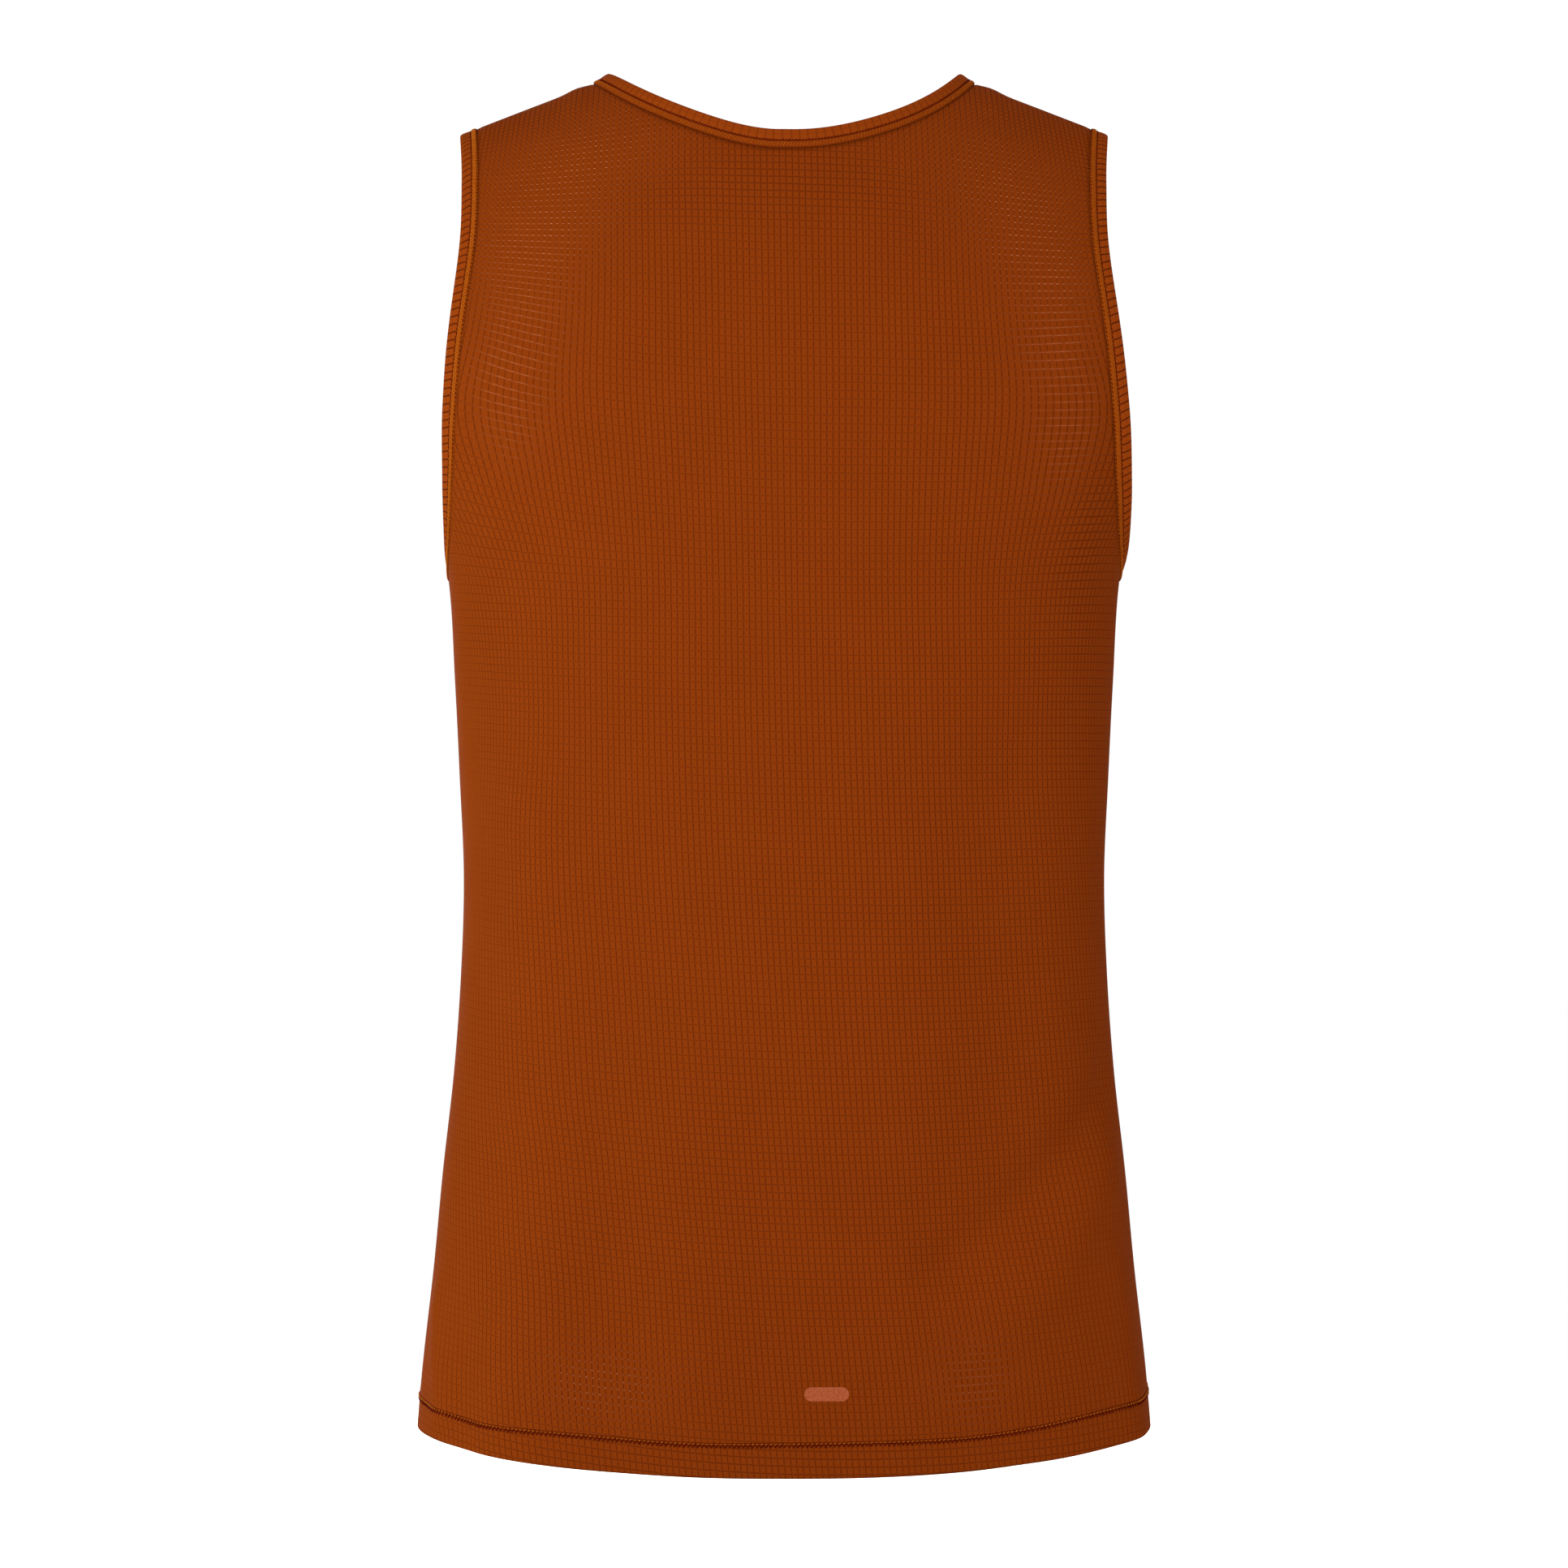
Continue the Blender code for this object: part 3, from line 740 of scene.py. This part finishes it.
def turned_up(points, normals, places, looks):
    """A panel's rows, after those of the hem's inner layer and of the fold below it."""
    up = unit(points[1] - points[0])
    depth = points[:HEM_NET_ROWS, CLEAR_COLUMN] - points[0, CLEAR_COLUMN]
    depth = np.linalg.norm(depth, axis=1)
    inner_rows = np.arange(int(np.searchsorted(depth, HEM_TURN_UP)), 0, -1)
    radius = HEM_LAYERS / 2
    rows = [(points[k] - normals[k] * HEM_LAYERS, normals[k], places[0] + (0, depth[k]),
             looks[0]) for k in inner_rows]
    for turn in np.linspace(np.pi, 0, HEM_FOLD_ROWS):
        around = normals[0] * (np.cos(turn) - 1) - up * (np.sin(turn) - 1)
        lower = places[0] + (0, radius * (turn - 1))
        rows.append((points[0] + around * radius, normals[0], lower, looks[0]))
    rows += list(zip(points, normals, places, looks))[1:]
    return [np.array(part) for part in zip(*rows)]


def panel(side):
    """One panel with its edges tucked in at the seams and its hem turned up inside."""
    angle, run = NETS[side]
    points, normals = cloth(side, angle, run)
    looks = np.stack(list(grid_look(side, angle, run).values()), axis=-1)
    for edge, inner in ((0, 1), (-1, -2)):
        points[:, edge] -= unit(points[:, inner] - points[:, edge]) * EDGE_LAP
    points[-1] -= unit(points[-2] - points[-1]) * EDGE_LAP
    points, normals, places, looks = turned_up(points, normals,
                                               knit_place(side, angle, run), looks)
    tucked = points - normals * EDGE_TUCK
    points[:, 0] -= normals[:, 0] * EDGE_DIP
    points[:, -1] -= normals[:, -1] * EDGE_DIP
    points[-1] -= normals[-1] * EDGE_DIP
    points = np.concatenate((tucked[:, :1], points, tucked[:, -1:]), axis=1)
    points = np.concatenate((points, np.concatenate(
        (tucked[-1:, :1], tucked[-1:], tucked[-1:, -1:]), axis=1)))
    places = np.pad(places, ((0, 1), (1, 1), (0, 0)), mode="edge")
    looks = np.pad(looks, ((0, 1), (1, 1), (0, 0)), mode="edge")
    values = [(name, looks[..., k]) for k, name in enumerate(PLAIN_LOOK)]
    piece = net_piece(side + "_cloth", points, places, panel_knit, values)
    return thicken(piece, CLOTH)


back = panel("back")
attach(back, "root")
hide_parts("back_panel")


# ---------------------------------------------------------------- front panel
# The same knit cut with a lower neckline and deeper armholes, a little fuller
# over the chest.

front = panel("front")
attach(front, "root")
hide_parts("front_panel")


# ---------------------------------------------------------------- side and shoulder seams
# Inside, the two raw edges of each seam are overlocked together and pressed
# towards the back: a narrow strip of both cloths under looped thread.

# The strip's section: across from the seam, and the depth inside the outer face
ALLOWANCE = np.array((
    (-0.8, 1.7), (0.2, 2.1), (1.6, 2.7), (4.0, 2.6), (6.2, 2.2), (6.7, 1.7))) / 1000
OVERLOCK_LINE = (0.0036, 0.0027)
ROWS_UNDER_HEM = 7

# A stitch's strand of thread, and how its size varies from stitch to stitch
STRAND_BENDS = 4
STRAND_SIDES = 5
SMALLEST = 0.88
LARGEST = 1.12
STITCH_SEED = 11


def stitch_group():
    """Stitches at an even pitch along a path that knows its outward side."""
    tree = bpy.data.node_groups.new("stitches", "GeometryNodeTree")
    for name, kind in (("Path", "Geometry"), ("Pitch", "Float"), ("Along", "Float"),
                       ("Across", "Float"), ("Rise", "Float"), ("Radius", "Float"),
                       ("Thread", "Material")):
        tree.interface.new_socket(name, in_out="INPUT", socket_type="NodeSocket" + kind)
    tree.interface.new_socket("Stitches", in_out="OUTPUT", socket_type="NodeSocketGeometry")
    draw = Wire(tree)
    given = draw.node("NodeGroupInput").output.node.outputs
    path, pitch, along, across, rise, radius, thread = (Wire(tree, given[k]) for k in range(7))
    curve = draw.node("GeometryNodeMeshToCurve", None, {"Mesh": path})
    even = draw.node("GeometryNodeResampleCurve", {"mode": "LENGTH"},
                     {"Curve": curve, "Length": pitch})
    out = draw.node("GeometryNodeInputNamedAttribute", {"data_type": "FLOAT_VECTOR"},
                    {"Name": "out"})
    turn = draw.node("FunctionNodeAxesToRotation",
                     {"primary_axis": "Z", "secondary_axis": "X"},
                     {"Primary Axis": out, "Secondary Axis": draw.node("GeometryNodeInputTangent")})
    ends = [draw.node("ShaderNodeCombineXYZ", None,
                      {"X": along * half, "Y": across * half}) for half in (-0.5, 0.5)]
    stroke = draw.node("GeometryNodeCurveQuadraticBezier", None,
                       {"Resolution": STRAND_BENDS, "Start": ends[0], "End": ends[1],
                        "Middle": draw.node("ShaderNodeCombineXYZ", None, {"Z": rise * 2})})
    ring = draw.node("GeometryNodeCurvePrimitiveCircle", None,
                     {"Resolution": STRAND_SIDES, "Radius": radius})
    strand = draw.node("GeometryNodeCurveToMesh", None,
                       {"Curve": stroke, "Profile Curve": ring, "Fill Caps": True})
    size = draw.node("FunctionNodeRandomValue", {"data_type": "FLOAT"},
                     {2: SMALLEST, 3: LARGEST, "Seed": STITCH_SEED}, output=1)
    placed = draw.node("GeometryNodeInstanceOnPoints", None,
                       {"Points": even, "Instance": strand, "Rotation": turn, "Scale": size})
    whole = draw.node("GeometryNodeRealizeInstances", None, {"Geometry": placed})
    smooth = draw.node("GeometryNodeSetShadeSmooth", None, {"Geometry": whole})
    coloured = draw.node("GeometryNodeSetMaterial", None,
                         {"Geometry": smooth, "Material": thread})
    draw.node("NodeGroupOutput", None, {"Stitches": coloured})
    return tree


STITCHES = stitch_group()


def stitches(name, points, outs, closed, thread, **sizes):
    """Stitches of one kind along a path, as a mesh of their own."""
    mesh = bpy.data.meshes.new(name)
    count = len(points)
    edges = [(k, (k + 1) % count) for k in range(count if closed else count - 1)]
    mesh.from_pydata(points.tolist(), edges, [])
    mesh.attributes.new("out", "FLOAT_VECTOR", "POINT").data.foreach_set("vector", outs.ravel())
    piece = linked(name, mesh)
    modifier = piece.modifiers.new("stitches", "NODES")
    modifier.node_group = STITCHES
    sockets = {item.name: item.identifier for item in STITCHES.interface.items_tree}
    for title, value in sizes.items():
        modifier[sockets[title.capitalize()]] = value
    modifier[sockets["Thread"]] = thread
    piece.update_tag()
    depsgraph = bpy.context.evaluated_depsgraph_get()
    baked = bpy.data.meshes.new_from_object(piece.evaluated_get(depsgraph),
                                            preserve_all_data_layers=True, depsgraph=depsgraph)
    piece.modifiers.remove(modifier)
    piece.data = baked
    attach(piece, "root")
    return piece


def thread_material(name, colour):
    """Spun thread, with its shade breaking up along each stitch."""
    material, shader, draw = cloth_shader(name)
    space = draw.node("ShaderNodeTexCoord", output=3)
    twist = draw.node("ShaderNodeTexNoise", None, {"Vector": space, "Scale": 2200.0})
    darker = tuple(part * 0.55 for part in colour[:3]) + (1,)
    tree = draw.tree
    tree.links.new(twist.ramp(0.35, 0.7).mixed(colour, darker).output,
                   shader.inputs["Base Color"])
    shader.inputs["Roughness"].default_value = 0.6
    return material


def seam_strip(name, angle, run):
    """An overlocked seam on the inside of the back panel, along this line."""
    points, normals = cloth("back", angle, run)
    across = unit(np.cross(normals, np.gradient(points, axis=0)))
    across *= np.sign(across[:, 1].sum())
    rows = np.array([points + across * place - normals * depth for place, depth in ALLOWANCE])
    places = np.stack(np.meshgrid(lengths_along(points), lengths_along(ALLOWANCE)), axis=-1)
    values = [(title, np.full(rows.shape[:2], number)) for title, number in PLAIN_LOOK.items()]
    strip = thicken(net_piece(name, rows, places, panel_knit, values), CLOTH)
    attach(strip, "root")
    line = points + across * OVERLOCK_LINE[0] - normals * OVERLOCK_LINE[1]
    loops = stitches(name + "_threads", line, -normals, False, rib_thread, pitch=0.0022,
                     along=0.0010, across=0.0060, rise=0.00035, radius=0.00020)


rib_thread = thread_material("rib_thread", (0.300, 0.0620, 0.0034, 1))
side_angle, side_run = side_line("back")[ROWS_UNDER_HEM:].T
shoulder_angle, shoulder_run = shoulder_seam().T
for hand, direction in (("left", 1), ("right", -1)):
    seam_strip("side_seam_" + hand, direction * side_angle, side_run)
    seam_strip("shoulder_seam_" + hand, direction * shoulder_angle, shoulder_run)


# ---------------------------------------------------------------- neck binding
# A strip of the same knit folded over the raw neck edge. Its turned-under edge
# makes a raised rib along the seam, which the coverstitch crosses with slanted
# threads, beside a fine line of needle holes, whose shade is painted as dark strands.

# The strip's section, in millimetres from the seam and out of its face
RIB_SECTION = np.array((
    (-0.60, -1.90), (0.10, -1.30), (0.30, -0.60), (0.60, -0.12), (1.10, 0.12), (1.80, 0.20),
    (2.60, 0.14), (3.20, 0.00), (3.75, -0.14), (4.30, -0.02), (5.20, 0.12), (6.60, 0.16),
    (8.00, 0.08), (8.95, -0.18), (9.42, -0.70), (9.45, -1.30), (9.10, -1.85), (8.20, -2.15),
    (6.00, -2.25), (4.20, -2.15), (3.00, -2.40), (1.60, -2.45), (0.60, -2.20))) / 1000

# Where the strip's parts start and end, along its section from the seam
SEAM_SHADE_END = (0.0007, 0.0014)
RIB_START = (0.0012, 0.0020)
RIB_END = (0.0046, 0.0052)
HOLLOW_END = (0.0053, 0.0059)
FLAT_START = (0.0054, 0.0060)
EDGE_LINE_START = (0.0080, 0.0084)
EDGE_LINE_END = (0.0086, 0.0090)

# Where its threads run, across from the seam and out of its face
RIB_CREST = (0.0019, 0.00012)
NEEDLE_LINE = (0.0037, -0.0001)
SEAM_LINE = (0.0006, -0.0001)

BINDING_PROUD = 0.0001
STRIP_CLOTH = 0.0008
STRIP_GROOVE_DEPTH = 0.00012
NECK_OPENING = (0, 0, -0.03)


def binding_frame(loop, opening, tilt):
    """Seam points of a binding, and the ways to its free edge and out of its face.

    The loop is the seam, as (side, angle, run) points, and the opening is a
    point inside it. The tilt, given the seam points, turns the free edge outwards.
    """
    found = [cloth(side, np.array([angle]), np.array([run])) for side, angle, run in loop]
    seam = np.array([points[0] for points, _ in found])
    normals = np.array([normals[0] for _, normals in found])
    normals = unit(sum(np.roll(normals, step, axis=0) for step in (-2, -1, 0, 1, 2)))
    along = unit(np.roll(seam, -1, axis=0) - np.roll(seam, 1, axis=0))
    across = unit(np.cross(normals, along))
    if np.sum(across * (np.array(opening) - seam)) < 0:
        return binding_frame(loop[::-1], opening, tilt)
    turn = tilt(seam)[:, None]
    lean = across * np.cos(turn) + normals * np.sin(turn)
    out = normals * np.cos(turn) - across * np.sin(turn)
    return seam + normals * BINDING_PROUD, lean, out


def neck_loop():
    """The seam points all round the neckline."""
    return [(side, angle, run) for side in CAPS for angle, run in neck_line(side)[:-1]]


def neck_tilt(seam):
    """The neck strip stands outwards, a little less at the shoulders."""
    return radians(20) - radians(5) * (seam[:, 0] / NECK_HALF_WIDTH) ** 4


def strip_material(name, face, groove_shade, rib, line_pitch, line_depth, slant):
    """Folded knit strip: cross lines on its flat part, and a paler rib by the seam, with painted
    shade in the lines, in the hollow beside the rib and along the seam.
    """
    material, shader, draw = cloth_shader(name)
    tree = draw.tree
    split = draw.node("ShaderNodeSeparateXYZ", None, {0: draw.node("ShaderNodeUVMap")})
    along = Wire(tree, split.output.node.outputs["X"])
    across = Wire(tree, split.output.node.outputs["Y"])
    space = draw.node("ShaderNodeTexCoord", output=3)
    wobble, yarn = (draw.node("ShaderNodeTexNoise", None,
                              {"Vector": space, "Scale": scale, "Detail": 2.0})
                    for scale in (160.0, YARN_SCALE))
    lines = ((along + across * slant) / line_pitch + (wobble - 0.5) * 0.3).line(0.70, 0.92)
    flat = across.ramp(*FLAT_START)
    ribbed = across.ramp(*RIB_START) * (1 - across.ramp(*RIB_END))
    hollow = across.ramp(*RIB_END) * (1 - across.ramp(*HOLLOW_END))
    along_line = across.ramp(*EDGE_LINE_START) * (1 - across.ramp(*EDGE_LINE_END)) * 0.20
    # Painted shade in the cross lines, in the hollow beside the rib and along the seam.
    dark = draw.math("MAXIMUM", lines * flat * line_depth, along_line)
    dark = draw.math("MAXIMUM", dark, hollow * 0.75)
    dark = draw.math("MAXIMUM", dark, (1 - across.ramp(*SEAM_SHADE_END)) * 0.35)
    grain = (yarn - 0.5) * 0.25
    shade = draw.math("MINIMUM", draw.math("MAXIMUM", dark * 0.9 - grain + 0.05, 0.0), 1.0)
    colour = shade.mixed((ribbed * 0.8).mixed(face, rib), groove_shade)
    bump = draw.node("ShaderNodeBump", None,
                     {"Strength": 0.8, "Distance": 1.0,
                      "Height": (1 - dark) * STRIP_GROOVE_DEPTH + (yarn - 0.5) * YARN_HEIGHT})
    tree.links.new(colour.output, shader.inputs["Base Color"])
    tree.links.new(bump.output, shader.inputs["Normal"])
    shader.inputs["Roughness"].default_value = 0.85
    return material


def binding_piece(name, path, material):
    """A strip folded round an edge, from its seam outside to its seam inside."""
    seam, lean, out = (np.concatenate((part, part[:1])) for part in path)
    rows = [seam + lean * across + out * height for across, height in RIB_SECTION]
    depths = lengths_along(RIB_SECTION)
    lengths = lengths_along(seam)
    places = np.stack(np.meshgrid(lengths, depths), axis=-1)
    return thicken(net_piece(name, np.array(rows), places, material), STRIP_CLOTH)


def line_along(path, place):
    """A line along a binding, at a distance from its seam and out of its face."""
    seam, lean, out = path
    return seam + lean * place[0] + out * place[1]


# A pale thread for the hem, also used as painted light on the left armhole's rib.
pale_and_lit_thread = thread_material("pale_and_lit_thread", (0.350, 0.082, 0.0050, 1))
# Dark strands along the needle lines and the hem's stitch line are painted shade of the needle holes.
stitch_shade_thread = thread_material("stitch_shade_thread", (0.086, 0.0056, 0.0009, 1))
# The second colour of each strip is painted shade in its lines and hollows.
neck_strip = strip_material("neck_strip", (0.185, 0.0290, 0.0022, 1), (0.055, 0.0070, 0.0010, 1),
                            (0.160, 0.0240, 0.0018, 1), 0.0044, 0.40, 0.0)
neck_path = binding_frame(neck_loop(), NECK_OPENING, neck_tilt)
neck = binding_piece("neck_strip", neck_path, neck_strip)
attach(neck, "root")
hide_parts("neck_binding")
neck_rope = stitches("neck_rib_threads", line_along(neck_path, RIB_CREST), neck_path[2], True,
                     rib_thread, pitch=0.0016, along=0.0010, across=0.0019, rise=0.00022,
                     radius=0.00022)
neck_needles = stitches("neck_needle_line", line_along(neck_path, NEEDLE_LINE), neck_path[2],
                        True, stitch_shade_thread, pitch=0.0016, along=0.0013, across=0.0008,
                        rise=0.00010, radius=0.00027)


# ---------------------------------------------------------------- armhole bindings
# The same strip round each armhole, with a brighter rib of closer threads between
# two dashed needle lines of painted shade, and the knit's lines slanting across its
# flat part. The rib's threads are paler on the lit left armhole, as painted light,
# and darker on the shaded right one, as painted shade.

# Its second colour is painted shade in its lines and hollows.
armhole_strip = strip_material("armhole_strip", (0.195, 0.0310, 0.0023, 1),
                               (0.055, 0.0070, 0.0010, 1), (0.240, 0.0440, 0.0024, 1),
                               0.0040, 1.0, 0.30)


def armhole_loop(direction):
    """The seam points all round an armhole: 1 is the wearer's left, -1 the right."""
    behind = [("back", direction * angle, run) for angle, run in armhole_line("back")]
    ahead = [("front", -direction * angle, run) for angle, run in armhole_line("front")]
    return behind + ahead[-2:0:-1]


# Where the right strip stands away most, as y and z, how far that reaches, and the turn
FLARE_PLACE = (0.050, -0.205)
FLARE_REACH = 0.060
FLARE_TURN = radians(27)


def flare(seam):
    """The strip stands away from the body under the right arm."""
    y, z = FLARE_PLACE
    away = np.hypot((seam[:, 2] - z) / FLARE_REACH, (seam[:, 1] - y) / FLARE_REACH)
    return np.where(seam[:, 0] < 0, FLARE_TURN * np.exp(-away ** 2), 0.0)


for hand, direction in (("left", 1), ("right", -1)):
    path = binding_frame(armhole_loop(direction), (direction * 0.16, 0, -0.14), flare)
    strip = binding_piece("armhole_strip_" + hand, path, armhole_strip)
    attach(strip, "root")
    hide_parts("armhole_binding_" + hand)
    # The left rib takes the paler thread as painted light, the right one the darker thread as painted
    # shade.
    rope = stitches("armhole_rib_threads_" + hand, line_along(path, RIB_CREST), path[2], True,
                    pale_and_lit_thread if hand == "left" else rib_thread, pitch=0.00125,
                    along=0.0010 * direction, across=0.0020, rise=0.00020, radius=0.00027)
    for title, place in (("outer", NEEDLE_LINE), ("inner", SEAM_LINE)):
        needles = stitches(f"armhole_{title}_needle_line_{hand}", line_along(path, place),
                           path[2], True, stitch_shade_thread, pitch=0.0021, along=0.0012,
                           across=0.0004, rise=0.00010, radius=0.00020)


# ---------------------------------------------------------------- hem stitching
# The turned-up hem is held by a coverstitch: small pale thread ends outside, with
# dark strands of painted shade from its needle holes and stitch line above and below
# them and in a zigzag, and a ladder of looped thread over the raw edge inside.

HEM_STITCH = 0.0165
HEM_STITCH_PITCH = 0.0022
HEM_WAVES = 9.0
HEM_WAVE_HEIGHT = 0.0004

# Where the stitch line runs lower: the place in degrees from the centre back, the
# spread in degrees and the fall
HEM_LOWS = ((62, 30, 0.0034), (-30, 25, 0.0005))


def hem_loop(height, out):
    """Points and normals round the hem, this far above its edge and off its face."""
    found = []
    for side, hand in (("back", 1), ("front", -1)):
        angle, run = (part[:HEM_NET_ROWS] for part in NETS[side])
        points, normals = cloth(side, angle, run)
        rows = np.linalg.norm(points[:, CLEAR_COLUMN] - points[0, CLEAR_COLUMN], axis=1)
        wave = np.sin(angle[0] * HEM_WAVES + 2 + hand) * HEM_WAVE_HEIGHT
        around = np.degrees(hand * angle[0])
        for place, spread, fall in HEM_LOWS:
            wave -= fall * np.exp(-((around - place) / spread) ** 2)
        low = np.searchsorted(rows, height + wave) - 1
        share = ((height + wave - rows[low]) / (rows[low + 1] - rows[low]))[:, None]
        place = np.arange(points.shape[1])
        line = points[low, place] * (1 - share) + points[low + 1, place] * share
        found.append((line + normals[low, place] * out, normals[low, place]))
    return [np.concatenate([pair[k][:-1] for pair in found]) for k in (0, 1)]


for title, height, out, thread, sizes in (
        ("hem_pale_threads", HEM_STITCH + 0.0006, 0.0001, pale_and_lit_thread,
         dict(along=0.0006, across=0.0005, rise=0.00034, radius=0.00030)),
        ("hem_upper_threads", HEM_STITCH + 0.0012, 0.0, stitch_shade_thread,
         dict(along=0.0020, across=0.0003, rise=0.00010, radius=0.00018)),
        ("hem_lower_threads", HEM_STITCH + 0.0001, 0.0, stitch_shade_thread,
         dict(along=0.0020, across=0.0004, rise=0.00014, radius=0.00036)),
        ("hem_zigzag", HEM_STITCH - 0.0005, 0.00005, stitch_shade_thread,
         dict(along=0.0012, across=0.0013, rise=0.00016, radius=0.00038)),
        ("hem_inside_ladder", HEM_STITCH, -0.0033, pale_and_lit_thread,
         dict(along=0.0012, across=0.0042, rise=-0.00035, radius=0.00022))):
    points, outs = hem_loop(height, out)
    threads = stitches(title, points, outs, True, thread, pitch=HEM_STITCH_PITCH, **sizes)


# ---------------------------------------------------------------- heat-bonded tab
# A plain round-ended bar of matt salmon film, pressed on low on the right of the
# back.

TAB_CENTRE = (-0.0205, 0.6477)
TAB_SIZE = (0.0215, 0.0068)
TAB_FILM = 0.00012
TAB_COLUMNS = 33
TAB_ROWS = 9


def tab_net():
    """Points of the bar on the cloth, end to end by bottom to top."""
    half_length, half_height = TAB_SIZE[0] / 2, TAB_SIZE[1] / 2
    along = np.sin(np.linspace(-np.pi / 2, np.pi / 2, TAB_COLUMNS)) * half_length
    past = np.maximum(np.abs(along) - (half_length - half_height), 0)
    reach = np.sqrt(np.maximum(half_height ** 2 - past ** 2, 1e-10))
    rows = []
    for share in np.linspace(-1, 1, TAB_ROWS):
        level = TAB_CENTRE[1] - share * reach
        angle = -angle_at(level, np.abs(TAB_CENTRE[0] - along))
        points, normals = cloth("back", angle, run_at("back", level))
        rows.append(points + normals * TAB_FILM)
    return np.array(rows)[:, ::-1]


def tab_material():
    """Matt film with a faint grain."""
    material, shader, draw = cloth_shader("salmon_film")
    space = draw.node("ShaderNodeTexCoord", output=3)
    print_grain = draw.node("ShaderNodeTexNoise", None, {"Vector": space, "Scale": 900.0})
    colour = print_grain.ramp(0.35, 0.65).mixed((0.285, 0.066, 0.026, 1),
                                                (0.235, 0.050, 0.018, 1))
    draw.tree.links.new(colour.output, shader.inputs["Base Color"])
    shader.inputs["Roughness"].default_value = 0.55
    return material


bar = tab_net()
tab = net_piece("salmon_tab", bar, bar[..., (0, 2)], tab_material())
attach(tab, "root")
